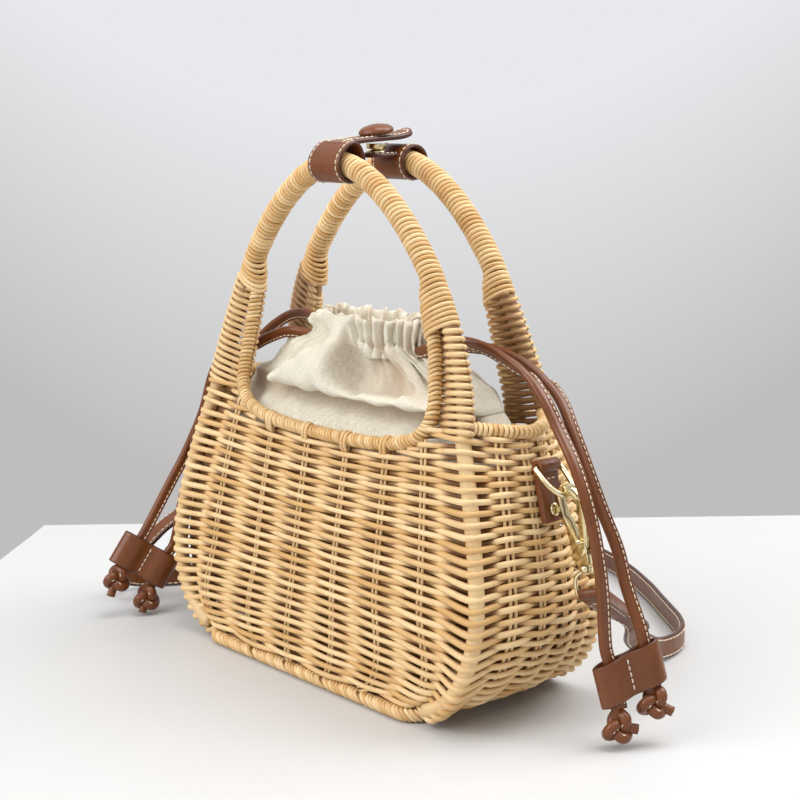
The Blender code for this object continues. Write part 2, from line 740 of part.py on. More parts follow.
def lining_half(z):
    """Half length and half depth of the lining's outer face at a height."""
    seat = WALL_THICKNESS + LINING_CLEARANCE
    if z <= WINDOW_SILL - 10.0 * MM:
        return end_x(max(z - seat, FOOT)) - seat, panel_depth(z) - seat
    start = lining_half(WINDOW_SILL - 10.0 * MM)
    rise = (z - WINDOW_SILL + 10.0 * MM) / (NECK_HEIGHT - WINDOW_SILL + 10.0 * MM)
    close = rise * rise * (3 - 2 * rise)
    return (start[0] + (NECK_LENGTH / 2 - start[0]) * close, start[1] + (NECK_DEPTH / 2 - start[1]) * close ** 1.3)


def lining():
    shares = (0.0, 0.06, 0.14, 0.30, 0.52, 0.68, 0.78, 0.86, 0.93, 1.0)
    floor = BASE_THICKNESS + 2 * GAP
    levels = [floor + (NECK_HEIGHT - floor) * share for share in shares]
    levels += [NECK_HEIGHT + 0.4 * FRILL_HEIGHT, NECK_HEIGHT + FRILL_HEIGHT]
    columns = 28
    rows = []
    for z in levels:
        a, b = lining_half(min(z, NECK_HEIGHT))
        frill = max(z - NECK_HEIGHT, 0.0) / FRILL_HEIGHT
        gather = min(max((z - WINDOW_SILL) / (NECK_HEIGHT - WINDOW_SILL), 0.0), 1.0)
        row = []
        for k in range(columns):
            turn = 2 * math.pi * k / columns
            square = 2 / (3.4 - 1.2 * gather)
            fold = LINING_FOLD * gather * math.cos(turn * columns / 4)
            reach = FRILL_FLARE * frill + fold
            c, s = math.cos(turn), math.sin(turn)
            x = math.copysign(abs(c) ** square, c) * (a + reach)
            y = math.copysign(abs(s) ** square, s) * (b + reach)
            row.append(Vector((x, y, z)))
        rows.append(row)
    bm = bmesh.new()
    grid = [[bm.verts.new(place) for place in row] for row in rows]
    for low, high in zip(grid, grid[1:]):
        for k in range(columns):
            n = (k + 1) % columns
            bm.faces.new((low[k], low[n], high[n], high[k]))
    middle = bm.verts.new((0, 0, levels[0]))
    for k in range(columns):
        bm.faces.new((grid[0][(k + 1) % columns], grid[0][k], middle))
    mesh = bpy.data.meshes.new("lining_bag")
    bm.to_mesh(mesh)
    bm.free()
    mesh.shade_smooth()
    obj = link("lining_bag", mesh, cotton())
    wall = obj.modifiers.new("cloth", "SOLIDIFY")
    wall.thickness = LINING_THICKNESS
    wall.offset = -1.0
    wall.use_even_offset = False


# Side hardware, modelled on the right and mirrored

def side_frame():
    """Frame at the ring's bar: x points out of the wall, z points up along it."""
    step = 6.0 * MM
    height = RIM_HEIGHT - SIDE_TAB_BELOW_RIM
    slope = math.atan2(end_x(height - step) - end_x(height + step), 2 * step)
    wall = Vector((end_x(height), 0, height))
    turn = Matrix.Rotation(-slope, 4, "Y")
    out = turn @ Vector((1, 0, 0))
    return Matrix.Translation(wall + out * (GAP + eye_radius())) @ turn


def eye_radius():
    return RING_WIRE + GAP + LEATHER


def ring_frame():
    return side_frame() @ Matrix.Rotation(-math.radians(RING_LEAN), 4, "Y")


def hook_frame():
    """Frame at the bottom of the ring's wire: z points up the hook."""
    pivot = ring_frame() @ Matrix.Translation((0, 0, -RING_DROP))
    turn = Matrix.Rotation(math.radians(RING_LEAN - HOOK_LEAN), 4, "Y")
    sway = Matrix.Rotation(math.radians(HOOK_SWAY), 4, "X")
    return pivot @ turn @ sway


def side_tab(name, side):
    """A strap folded over the ring's bar, with a hole for its rivet."""
    reach = eye_radius()
    hole = RING_WIRE + GAP
    low = -SIDE_TAB_DROP
    inner = -reach
    outer = inner + SIDE_TAB_THICKNESS
    lead = math.degrees(math.acos(max(min(outer / reach, 1.0), -1.0)))
    loop = arc((0, 0), reach, -lead, 180, 16)
    outline = [(inner, low), (outer, low), *loop]
    bm = plate(outline, SIDE_TAB_WIDTH)
    obj = mesh_object(name, bm, leather(), mirror_x(side) @ side_frame())
    wide = SIDE_TAB_WIDTH
    place = mirror_x(side) @ side_frame()
    bar = rod_between(Vector((0, -wide, 0)), Vector((0, wide, 0)), hole, 16)
    boolean(obj, mesh_object(name + "_bar_hole", bar, leather(), place), "DIFFERENCE")
    pin = rod_between(Vector((-4 * reach, 0, -RIVET_DROP)), Vector((4 * reach, 0, -RIVET_DROP)), RIVET_SHANK + GAP, 12)
    boolean(obj, mesh_object(name + "_rivet_hole", pin, leather(), place), "DIFFERENCE")
    face = outer + GAP
    profile = ((0, inner), (RIVET_SHANK, inner), (RIVET_SHANK, face), (RIVET_RADIUS, face),
               (RIVET_RADIUS, face + 0.4 * RIVET_HEIGHT), (0.7 * RIVET_RADIUS, face + 0.85 * RIVET_HEIGHT),
               (0, face + RIVET_HEIGHT))
    lie = Matrix.Translation((0, 0, -RIVET_DROP)) @ Matrix.Rotation(math.pi / 2, 4, "Y")
    rivet = name.replace("side_tab", "tab_rivet")
    mesh_object(rivet, turned(profile, 12), brass(), place @ lie)


def dee_line(half, drop, corner):
    """A closed D in y and z: a straight bar at z = 0 and a bow that reaches down from its ends."""
    line = [(-half + corner, 0), (0, 0), (half - corner, 0)]
    line += arc((half - corner, -corner), corner, 60, 0, 2)
    steps = 12
    for k in range(1, steps):
        turn = math.pi * k / steps
        line.append((half * math.cos(turn), -corner - (drop - corner) * math.sin(turn) ** 0.6))
    return line + arc((-half + corner, -corner), corner, 180, 120, 2)


def dee_ring(name, side):
    line = dee_line(RING_WIDTH / 2 - RING_WIRE, RING_DROP, RING_CORNER)
    matrix = mirror_x(side) @ ring_frame()
    tube(name, [matrix @ Vector((0, y, z)) for y, z in line], RING_WIRE, brass(), THIN_STEPS, closed=True)


def hook_outline():
    """Side of the hook in x and z, x away from the wall, with the ring's wire at the origin."""
    seat = RING_WIRE + HOOK_PLAY
    centre = (0.0, -(HOOK_EYE - seat))
    outer = HOOK_EYE + HOOK_BAR
    shank = HOOK_EYE
    floor = GATE_PIVOT_OUT - 2.0 * MM
    return [*arc(centre, outer, 5, 180, 10), (-outer, -10 * MM), (-shank, -15 * MM), (-shank, -HOOK_LENGTH),
            (shank, -HOOK_LENGTH), (shank, -GATE_PIVOT_DROP - 2.6 * MM), (floor, -GATE_PIVOT_DROP - 2.6 * MM),
            (floor, -GATE_PIVOT_DROP), (-2.0 * MM, -13 * MM), (-HOOK_EYE, -9 * MM),
            *arc(centre, HOOK_EYE, 180, 5, 9)]


def snap_hook(name, side):
    matrix = mirror_x(side) @ hook_frame()
    obj = mesh_object(name, plate(hook_outline(), HOOK_THICKNESS), brass(), matrix)
    cheek = GATE_PIVOT_OUT + 2.2 * MM
    for k, y in enumerate((-1, 1)):
        width = (HOOK_THICKNESS - GATE_SLOT) / 2 - GATE_CLEARANCE
        middle = y * (HOOK_THICKNESS - width) / 2
        outline = [(HOOK_EYE - 1.0 * MM, -GATE_PIVOT_DROP - 4 * MM), (cheek, -GATE_PIVOT_DROP - 2 * MM),
                   (cheek, -GATE_PIVOT_DROP + 2 * MM), (0.5 * MM, -GATE_PIVOT_DROP + 3 * MM),
                   (-1.0 * MM, -GATE_PIVOT_DROP - 1 * MM), (0.0, -GATE_PIVOT_DROP - 5 * MM)]
        ear = mesh_object(f"{name}_ear_{k}", plate(outline, width), brass(), matrix @ Matrix.Translation((0, middle, 0)))
        boolean(obj, ear, "UNION")
    wide = HOOK_THICKNESS
    hole = rod_between(Vector((GATE_PIVOT_OUT, -wide, -GATE_PIVOT_DROP)),
                       Vector((GATE_PIVOT_OUT, wide, -GATE_PIVOT_DROP)), GATE_PIN_RADIUS + GAP / 2, 12)
    boolean(obj, mesh_object(name + "_pin_hole", hole, brass(), matrix), "DIFFERENCE")
    bore = rod_between(Vector((0, 0, -HOOK_LENGTH - 2 * MM)), Vector((0, 0, -HOOK_LENGTH + SWIVEL_DEPTH + GAP)),
                       SWIVEL_STEM + GAP, 16)
    boolean(obj, mesh_object(name + "_swivel_hole", bore, brass(), matrix), "DIFFERENCE")


def hook_gate(name, side):
    """The sprung lever that shuts the hook's mouth."""
    matrix = mirror_x(side) @ hook_frame()
    seat = RING_WIRE + HOOK_PLAY
    tip = -(HOOK_EYE - seat) - GAP
    outer = HOOK_EYE + HOOK_BAR
    drop = GATE_PIVOT_DROP
    out = GATE_PIVOT_OUT
    outline = [(HOOK_EYE + 0.2 * MM, tip), (outer - 0.1 * MM, tip), (outer + 0.2 * MM, -10 * MM),
               (out + 3.4 * MM, -16 * MM), (out + 1.8 * MM, -drop + 1 * MM), (out + 1.4 * MM, -drop - 1.2 * MM),
               (out, -drop - 1.8 * MM), (out - 1.4 * MM, -drop - 1.2 * MM), (out - 1.6 * MM, -drop + 1 * MM),
               (out - 0.4 * MM, -15 * MM), (HOOK_EYE - 0.6 * MM, -10 * MM)]
    obj = mesh_object(name, plate(outline, GATE_SLOT), brass(), matrix)
    wide = HOOK_THICKNESS
    pin_line = (Vector((out, -wide / 2, -drop)), Vector((out, wide / 2, -drop)))
    hole = rod_between(pin_line[0] * 1.0 - Vector((0, wide, 0)), pin_line[1] + Vector((0, wide, 0)),
                       GATE_PIN_RADIUS + GAP / 2, 12)
    boolean(obj, mesh_object(name + "_pin_hole", hole, brass(), matrix), "DIFFERENCE")
    mesh_object(name.replace("hook_gate", "gate_pin"), rod_between(*pin_line, GATE_PIN_RADIUS, 12), brass(), matrix)


def strap_loop(name, side):
    """The swivel's collar and stem with the oval loop that the strap goes round."""
    matrix = mirror_x(side) @ hook_frame()
    top = -HOOK_LENGTH - GAP
    low = top - SWIVEL_COLLAR_HEIGHT
    neck = 0.72 * SWIVEL_COLLAR
    profile = [(0, top + GAP + SWIVEL_DEPTH), (SWIVEL_STEM, top + GAP + SWIVEL_DEPTH), (SWIVEL_STEM, top),
               (SWIVEL_COLLAR, top), (SWIVEL_COLLAR, top - 1.0 * MM), (neck, top - 1.6 * MM), (neck, low + 1.0 * MM),
               (SWIVEL_COLLAR * 0.9, low), (0, low)]
    obj = mesh_object(name, turned(profile, 10), brass(), matrix)
    spin = Matrix.Rotation(math.radians(LOOP_TURN), 4, "Z")
    line = []
    for y, z in dee_line(LOOP_WIDTH / 2 - LOOP_WIRE, LOOP_DROP, RING_CORNER):
        line.append(matrix @ spin @ Vector((0, y, loop_bottom().z - z)))
    wire = helper(tube(name + "_wire", line, LOOP_WIRE, brass(), THIN_STEPS, closed=True))
    graph = bpy.context.evaluated_depsgraph_get()
    mesh = bpy.data.meshes.new_from_object(wire.evaluated_get(graph))
    bpy.data.objects.remove(wire, do_unlink=True)
    boolean(obj, link(name + "_loop", mesh, brass()), "UNION")


def loop_bottom():
    """Middle of the strap loop's lower bar, in the hook's frame."""
    low = -HOOK_LENGTH - GAP - SWIVEL_COLLAR_HEIGHT
    return Vector((0, 0, low + 0.5 * LOOP_WIRE - LOOP_DROP))


def strap_end(name, side):
    """The strap's end, folded round the loop and stitched back on itself."""
    reach = LOOP_WIRE + GAP + STRAP_THICKNESS / 2
    outline = arc((0, 0), reach, -42, 222, 12)
    tail = STRAP_END_LENGTH
    waist = STRAP_THICKNESS
    outline += [(-waist, -reach - 1.5 * MM), (-waist, -tail), (waist, -tail), (waist, -reach - 1.5 * MM)]
    start = (mirror_x(1) @ hook_frame()) @ loop_bottom()
    aim = Vector(RIGHT_STRAP_AIM if side > 0 else LEFT_STRAP_AIM) * MM
    aim.x *= side
    wide = hook_frame().to_3x3() @ Matrix.Rotation(math.radians(LOOP_TURN), 3, "Z") @ Vector((0, 1, 0))
    up = start - aim
    up = (up - wide * up.dot(wide)).normalized()
    turn = Matrix((wide.cross(up), wide, up)).transposed().to_4x4()
    matrix = mirror_x(side) @ Matrix.Translation(start) @ turn
    obj = mesh_object(name, plate(outline, STRAP_WIDTH), leather(), matrix)
    bar = rod_between(Vector((0, -STRAP_WIDTH, 0)), Vector((0, STRAP_WIDTH, 0)), LOOP_WIRE + GAP, 12)
    boolean(obj, mesh_object(name + "_bar_hole", bar, leather(), matrix), "DIFFERENCE")
    return [matrix @ Vector((0, 0, -tail - reach)) for reach in (STRAP_JOIN, 0.5 * STRAP_END_LENGTH)]


# Drawstrings and strap

def slider_frame(place, across, down):
    """Axes of a slider: across both cords, out of the band and up the cords, which pull the soft band askew."""
    x, z = Vector(across).normalized(), -Vector(down).normalized()
    turn = Matrix((x, z.cross(x).normalized(), z)).transposed().to_4x4()
    return Matrix.Translation(Vector(place) * MM) @ turn


def slider(name, frame):
    """A leather band round both cords, pinched between them."""
    half = SLIDER_LENGTH / 2
    upper = []
    steps = 12
    for k in range(steps + 1):
        x = -half + 2 * half * k / steps
        share = abs(x) / half
        lobe = SLIDER_WAIST + (SLIDER_THICKNESS - SLIDER_WAIST) * math.sin(math.pi * min(share, 0.53) / 1.06) ** 2
        close = math.sqrt(max(1 - max((share - 0.62) / 0.38, 0.0) ** 2, 0.0))
        upper.append((x, 0.5 * max(lobe * close, 1.2 * MM)))
    outline = upper + [(x, -y) for x, y in reversed(upper)]
    turn = Matrix.Rotation(math.pi / 2, 4, "X")
    obj = mesh_object(name, plate(outline, SLIDER_HEIGHT), leather(), frame @ turn)
    for k, offset in enumerate((-SLIDER_CORD_OFFSET, SLIDER_CORD_OFFSET)):
        hole = rod_between(Vector((offset, 0, -SLIDER_HEIGHT)), Vector((offset, 0, SLIDER_HEIGHT)),
                           CORD_RADIUS + CORD_GAP, 14)
        boolean(obj, mesh_object(f"{name}_hole_{k}", hole, leather(), frame), "DIFFERENCE")


def knot(name, frame, offset):
    """A tied knot, drawn as a three-lobed loop of the cord itself."""
    line = []
    steps = 24
    for k in range(steps):
        turn = 2 * math.pi * k / steps
        x = math.sin(turn) + 2 * math.sin(2 * turn)
        y = math.cos(turn) - 2 * math.cos(2 * turn)
        line.append(Vector((offset + KNOT_SIZE * x, KNOT_SIZE * y, -KNOT_DROP - KNOT_LIFT * math.sin(3 * turn))))
    tube(name, [frame @ p for p in line], KNOT_CORD, leather(), THIN_STEPS, closed=True)


def over_rim(route, low):
    """A route drawn for a rim 136 mm high, lifted or lowered with the rim that it hangs over."""
    lift = RIM_HEIGHT - DRAWN_RIM
    lifted = []
    for place in vectors(route):
        along = min(max((abs(place.x) - NECK_LENGTH / 2) / (RIM_END_WIDTH / 2 - NECK_LENGTH / 2), 0.0), 1.0)
        hang = min(max((place.z - low) / (DRAWN_RIM - low), 0.0), 1.0)
        lifted.append(place + Vector((0, 0, lift * min(along, hang))))
    return lifted


def drawstring(name, route, frame, offset):
    """A cord from the gathered neck, over the end rim and through the slider to its knot."""
    through = [Vector((offset, 0, z)) for z in (SLIDER_HEIGHT, 0.5 * SLIDER_HEIGHT, 0.0, -0.5 * SLIDER_HEIGHT)]
    last = Vector((offset, 0, -KNOT_DROP + KNOT_LIFT + KNOT_CORD - KNOT_SEAT))
    points = over_rim(route, frame.translation.z) + [frame @ p for p in [*through, last]]
    tube(name, smooth_route(points, 3.0 * 2 * CORD_RADIUS), CORD_RADIUS, leather())


def drawstrings():
    ends = (("right", RIGHT_SLIDER, RIGHT_SLIDER_ACROSS, RIGHT_SLIDER_DOWN, RIGHT_FRONT_ROUTE, RIGHT_BACK_ROUTE),
            ("left", LEFT_SLIDER, LEFT_SLIDER_ACROSS, LEFT_SLIDER_DOWN, LEFT_BACK_ROUTE, LEFT_FRONT_ROUTE))
    for word, place, across, down, first, second in ends:
        frame = slider_frame(place, across, down)
        slider(f"{word}_cord_slider", frame)
        names = ("front", "back") if word == "right" else ("back", "front")
        for name, route, offset in zip(names, (first, second), (-SLIDER_CORD_OFFSET, SLIDER_CORD_OFFSET)):
            drawstring(f"{word}_{name}_drawstring", route, frame, offset)
            knot(f"{word}_{name}_knot", frame, offset)


def shoulder_strap(start, end):
    """A flat strap that stands on its edge, from one folded end to the other."""
    points = smooth_route([*start, *vectors(STRAP_ROUTE), *reversed(end)], 19.0 * MM)
    curve = bpy.data.curves.new("shoulder_strap", "CURVE")
    curve.dimensions = "3D"
    curve.twist_mode = "Z_UP"
    curve.extrude = (STRAP_WIDTH - STRAP_THICKNESS) / 2
    curve.bevel_depth = STRAP_THICKNESS / 2
    curve.bevel_resolution = 0
    curve.use_fill_caps = True
    spline = curve.splines.new("POLY")
    spline.points.add(len(points) - 1)
    for k, (point, place) in enumerate(zip(spline.points, points)):
        point.co = (*place, 1.0)
        ends = min(k, len(points) - 1 - k) / STRAP_TWIST_STEPS
        point.tilt = math.radians(90) * max(1 - ends, 0.0) * (1 if 2 * k < len(points) else -1)
    link("shoulder_strap", curve, leather())


def pivots():
    """Puts the origin of every moving piece on its joint."""
    for name in ("snap_cap", "snap_socket"):
        pivot_at(name, (0, TAB_HINGE_Y, TAB_HINGE_Z))
    for word, side in (("left", -1), ("right", 1)):
        flip = mirror_x(side)
        bar = flip @ ring_frame()
        hook = flip @ hook_frame()
        pivot_at(f"{word}_dee_ring", bar.translation)
        for name in ("snap_hook", "gate_pin"):
            pivot_at(f"{word}_{name}", hook.translation)
        pivot_at(f"{word}_hook_gate", hook @ Vector((GATE_PIVOT_OUT, 0, -GATE_PIVOT_DROP)))
        for name in ("strap_loop", "strap_end"):
            pivot_at(f"{word}_{name}", hook @ Vector((0, 0, -HOOK_LENGTH)))
    pivot_at("right_cord_slider", Vector(RIGHT_SLIDER) * MM)
    pivot_at("left_cord_slider", Vector(LEFT_SLIDER) * MM)


def main():
    clear_scene()
    base()
    for word, side in (("front", -1), ("back", 1)):
        panel(f"{word}_panel", side)
        hoop(f"{word}_hoop", side)
        window_rod(f"{word}_window_rod", side)
        wrap(f"{word}_handle_wrap", side)
    front_sleeve()
    back_sleeve()
    closure_tab()
    lining()
    ends = {}
    for word, side in (("left", -1), ("right", 1)):
        end_wall(f"{word}_end_wall", side)
        end_rim(f"{word}_end_rim", side)
        side_tab(f"{word}_side_tab", side)
        dee_ring(f"{word}_dee_ring", side)
        snap_hook(f"{word}_snap_hook", side)
        hook_gate(f"{word}_hook_gate", side)
        strap_loop(f"{word}_strap_loop", side)
        ends[word] = strap_end(f"{word}_strap_end", side)
    drawstrings()
    shoulder_strap(ends["right"], ends["left"])
    pivots()


main()
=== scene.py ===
# %% [markdown]
# # A basket bag of woven cane, dressed over its solid model
# The solid model gives every size and every joint. This lesson loads it, and then lays the real materials
# over it one piece at a time: cane that is woven and wound, leather that is folded and sewn, cotton that is
# gathered, and plated metal. Lengths in the shape functions are millimetres.

# %% Load the solid model
import math
import bmesh
import bpy
import numpy as np
from mathutils import Matrix, Vector


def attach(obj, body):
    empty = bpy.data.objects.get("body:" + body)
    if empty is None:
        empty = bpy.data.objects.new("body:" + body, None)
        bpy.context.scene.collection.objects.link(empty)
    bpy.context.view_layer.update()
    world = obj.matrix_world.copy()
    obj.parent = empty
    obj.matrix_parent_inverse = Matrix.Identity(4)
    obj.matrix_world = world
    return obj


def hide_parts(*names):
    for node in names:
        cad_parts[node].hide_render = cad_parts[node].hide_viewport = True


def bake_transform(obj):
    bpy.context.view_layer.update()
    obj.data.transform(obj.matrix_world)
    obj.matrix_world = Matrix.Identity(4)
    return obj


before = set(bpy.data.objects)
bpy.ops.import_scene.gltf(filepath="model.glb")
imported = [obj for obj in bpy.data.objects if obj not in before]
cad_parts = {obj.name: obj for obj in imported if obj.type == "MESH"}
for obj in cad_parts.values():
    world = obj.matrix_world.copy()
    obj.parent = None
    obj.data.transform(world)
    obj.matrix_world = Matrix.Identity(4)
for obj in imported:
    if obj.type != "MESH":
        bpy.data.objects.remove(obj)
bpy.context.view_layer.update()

MM = 0.001
chance = np.random.default_rng(11)

# %% [markdown]
# ## The camera
# The photograph was taken from the right of the front, a little above the rim, with a lens of about 70 mm.
# The eye and the direction were solved from the edges of the base, the posts and the handles, so they are
# written as numbers. A camera looks along its own -Z, so its matrix has the right, the up and the backward
# direction as columns.

# %% Camera
EYE = np.array([0.5995, -0.5226, 0.2952])
AHEAD = np.array([-0.7277, 0.6585, -0.1921])
ROLL = math.radians(-0.46)


def unit(v):
    """Each vector divided by its own length."""
    v = np.asarray(v, float)
    return v / np.maximum(np.linalg.norm(v, axis=-1, keepdims=True), 1e-12)


def linked(name, data):
    """A new object with this data, in the scene."""
    obj = bpy.data.objects.new(name, data)
    bpy.context.scene.collection.objects.link(obj)
    return obj


ahead = unit(AHEAD)
level = unit(np.cross(ahead, (0, 0, 1)))
right = level * math.cos(ROLL) + np.cross(level, ahead) * math.sin(ROLL)
above = np.cross(right, ahead)
lens = bpy.data.cameras.new("photo_camera")
lens.lens, lens.sensor_width = 70.51, 36.0
camera = linked("photo_camera", lens)
columns = np.column_stack([right, above, -ahead, EYE])
camera.matrix_world = Matrix(np.vstack([columns, (0, 0, 0, 1)]).tolist())
bpy.context.scene.camera = camera
print("camera", camera.location[:])

# %% [markdown]
# ## Colours and nodes
# Colours are read from pictures as sRGB codes, and shaders work in linear light, so one function converts
# them. One small function adds a node, and sets or links its inputs. The others name the few nodes that
# every finish uses.

# %% Colour and node helpers
def linear(code):
    """sRGB code to linear: c / 12.92 below 0.04045, else ((c + 0.055) / 1.055) to the power 2.4."""
    c = np.array([int(code[k:k + 2], 16) for k in (1, 3, 5)]) / 255
    return (*np.where(c <= 0.04045, c / 12.92, ((c + 0.055) / 1.055) ** 2.4).tolist(), 1.0)


def fill(node, sockets):
    """An input given another node's output is linked, and any other is set."""
    for name, value in sockets.items():
        if isinstance(value, bpy.types.NodeSocket):
            node.id_data.links.new(value, node.inputs[name])
        else:
            node.inputs[name].default_value = value


def add(tree, kind, sockets=None, **settings):
    """A new node with these properties and inputs."""
    node = tree.nodes.new(kind)
    for name, value in settings.items():
        setattr(node, name, value)
    fill(node, sockets or {})
    return node


def coords(tree, kind):
    return add(tree, "ShaderNodeTexCoord").outputs[kind]


def mark(tree, name):
    return add(tree, "ShaderNodeAttribute", attribute_name=name).outputs["Fac"]


def stretched(tree, place, scale):
    return add(tree, "ShaderNodeMapping", {"Vector": place, "Scale": scale}).outputs[0]


def noise(tree, place, scale, detail, rough=0.5):
    inputs = {"Vector": place, "Scale": scale, "Detail": detail, "Roughness": rough}
    return add(tree, "ShaderNodeTexNoise", inputs).outputs["Fac"]


def maths(tree, operation, *values):
    return add(tree, "ShaderNodeMath", dict(enumerate(values)), operation=operation).outputs[0]


def ranged(tree, value, start=0.0, stop=1.0, low=0.0, high=1.0):
    """The value's run from start to stop becomes a run from low to high."""
    limits = {"From Min": start, "From Max": stop, "To Min": low, "To Max": high}
    return add(tree, "ShaderNodeMapRange", {"Value": value, **limits}).outputs[0]


def mix(tree, share, none, whole):
    """One colour where the share is 0 and the other where it is 1; a colour is a socket or an sRGB code."""
    none, whole = (linear(c) if isinstance(c, str) else c for c in (none, whole))
    return add(tree, "ShaderNodeMix", {0: share, 6: none, 7: whole}, data_type="RGBA").outputs[2]


def bumped(tree, height, strength, depth):
    return add(tree, "ShaderNodeBump", {"Height": height, "Strength": strength, "Distance": depth}).outputs[0]


def finish_named(name):
    made = bpy.data.materials.new(name)
    made.use_nodes = True
    return made, made.node_tree, made.node_tree.nodes["Principled BSDF"]


print("helpers ready")

# %% [markdown]
# ## Table, backdrop and light
# The bag stands on a white table whose far edge shows, before a pale grey wall. The wall is the world's
# colour for camera, glossy and transmission rays, so metal shows it too, and all other rays get soft white
# light. One large soft lamp stands to the left of the camera, so that the end of the bag is a little darker
# than its front.

# %% Stage
TABLE_CORNER = np.array([-0.356, 0.005])
BACK_EDGE, LEFT_EDGE = np.array([0.657, 0.754]), np.array([0.652, -0.759])
TABLE_SIDE, TABLE_TOP = 3.2, -0.0002
table_paint, tree, shader = finish_named("table_white_matt_paint")
mottle = noise(tree, coords(tree, "Object"), 6.0, 3.0)
fill(shader, {"Base Color": mix(tree, mottle, "#C6C6C6", "#CBCBCB"), "Roughness": 0.55})
corners = TABLE_SIDE * np.array(((0, 0), (0, 1), (1, 1), (1, 0)))
flat = TABLE_CORNER + corners @ np.stack([BACK_EDGE, LEFT_EDGE])
table_mesh = bpy.data.meshes.new("table")
table_mesh.from_pydata(np.column_stack([flat, np.full(4, TABLE_TOP)]).tolist(), [], [(0, 1, 2, 3)])
table_mesh.materials.append(table_paint)
table = linked("table", table_mesh)
print("table", flat.round(2).tolist())

# %% [markdown]
# The wall is a world colour rather than a mesh, so it needs no light of its own. Its light is painted into
# that colour: it is lighter high up and in the middle of the picture.

# %% Wall and lamps
LAMPS = {"key_softbox": ((-0.35, -1.15, 0.95), 1.2, 18.0), "top_softbox": ((0.15, 0.1, 1.5), 0.7, 9.0),
         "back_softbox": ((0.55, 0.7, 1.1), 0.9, 14.0)}
LAMPS_AIM = Vector((0, 0, 0.1))
world = bpy.data.worlds.new("pale_wall")
bpy.context.scene.world = world
world.use_nodes = True
tree = world.node_tree
rays = add(tree, "ShaderNodeLightPath").outputs
seen = maths(tree, "MAXIMUM", rays["Is Camera Ray"], rays["Is Glossy Ray"])
seen = maths(tree, "MAXIMUM", seen, rays["Is Transmission Ray"])
aim = coords(tree, "Generated")
height = add(tree, "ShaderNodeSeparateXYZ", {0: aim}).outputs["Z"]
aside = add(tree, "ShaderNodeVectorMath", {0: aim, 1: tuple(level)}, operation="DOT_PRODUCT").outputs["Value"]
lit = maths(tree, "MULTIPLY_ADD", maths(tree, "MULTIPLY", aside, aside), -1.6, height)
# Painted light: the wall's colour is lighter high up and towards the middle
wall = mix(tree, ranged(tree, lit, -0.27, -0.02), "#C0BEBD", "#E8E9EC")
shown = add(tree, "ShaderNodeBackground", {"Color": wall, "Strength": 1.0}).outputs[0]
soft = add(tree, "ShaderNodeBackground", {"Color": linear("#FBFAF8"), "Strength": 0.5}).outputs[0]
both = add(tree, "ShaderNodeMixShader", {0: seen, 1: soft, 2: shown}).outputs[0]
fill(tree.nodes["World Output"], {"Surface": both})
for name, (spot, width, power) in LAMPS.items():
    lamp = bpy.data.lights.new(name, "AREA")
    lamp.energy, lamp.size = power, width
    stand = linked(name, lamp)
    stand.location = spot
    stand.rotation_euler = (LAMPS_AIM - Vector(spot)).to_track_quat("-Z", "Y").to_euler()
bpy.context.scene.view_settings.view_transform = "Standard"
print("wall and lamps", list(LAMPS))

# %% [markdown]
# ## Cane
# Peeled rattan core: pale straw wood with long fibres, no bark, dried and left without varnish. It scatters
# light like matt wood with a low satin gloss. Each cane has its own tone, which the maker's mesh carries as
# an attribute, and fibres that run along it, which follow the UV map: U is the length and V the way round,
# both in millimetres. Where a cane dives behind a stake, or is seen only between windings, its colour is
# darkened with painted shade, which another attribute marks.

# %% Cane finish
cane, tree, shader = finish_named("peeled_rattan_core")
# Fibres are about 0.4 mm wide and 14 mm long
fibre = noise(tree, stretched(tree, coords(tree, "UV"), (0.07, 2.4, 1.0)), 1.0, 3.0, 0.6)
# Blotches of tone are about 12 mm long on a cane
blotch = noise(tree, coords(tree, "Object"), 85.0, 2.0)
wood = mix(tree, fibre, "#F8E0B4", "#E2BC82")
wood = mix(tree, mark(tree, "tint"), wood, "#D0A568")
wood = mix(tree, ranged(tree, blotch, 0.5, 0.8, high=0.55), wood, "#C8965C")
# Painted shade: the attribute darkens the cane towards deep brown where it lies behind others
wood = mix(tree, maths(tree, "MULTIPLY", mark(tree, "sunk"), 0.78), wood, "#74420F")
fill(shader, {"Base Color": wood, "Roughness": ranged(tree, fibre, low=0.40, high=0.60),
              "Normal": bumped(tree, fibre, 0.35, 0.00025)})
print("finish", cane.name)

# %% [markdown]
# ## Leather
# The trim is tan split cowhide with a smooth pigmented top coat, cut in strips whose edges are painted
# dark; the mesh marks those edges with an attribute.

# %% Leather finish
leather, tree, shader = finish_named("tan_cowhide_top_coated")
place = coords(tree, "Object")
# Pores of the grain stand about 0.7 mm apart
pores = add(tree, "ShaderNodeTexVoronoi", {"Vector": place, "Scale": 1450.0}, feature="DISTANCE_TO_EDGE")
creases = noise(tree, place, 260.0, 4.0)
hide = mix(tree, noise(tree, place, 55.0, 3.0), "#623210", "#7D4620")
hide = mix(tree, ranged(tree, creases, 0.45, 0.75, high=0.4), hide, "#52290F")
hide = mix(tree, mark(tree, "cut"), hide, "#4A2617")
grain = maths(tree, "MULTIPLY", pores.outputs[0], creases)
fill(shader, {"Base Color": hide, "Roughness": ranged(tree, creases, low=0.3, high=0.46),
              "Specular IOR Level": 0.32, "Coat Weight": 0.25, "Coat Roughness": 0.18,
              "Normal": bumped(tree, grain, 0.25, 0.0002)})
print("finish", leather.name)

# %% [markdown]
# ## Thread, metal and cotton
# The leather is sewn with thick off-white polyester thread. The fittings are die-cast zinc plated in pale
# gold. The lining is unbleached cotton canvas, which shows slubs: thicker runs of its threads. In its
# folds, and where it is seen only through the weave, its colour is darkened to a warm brown by painted shade.

# %% Thread, metal and cotton finishes
thread, tree, shader = finish_named("waxed_polyester_thread")
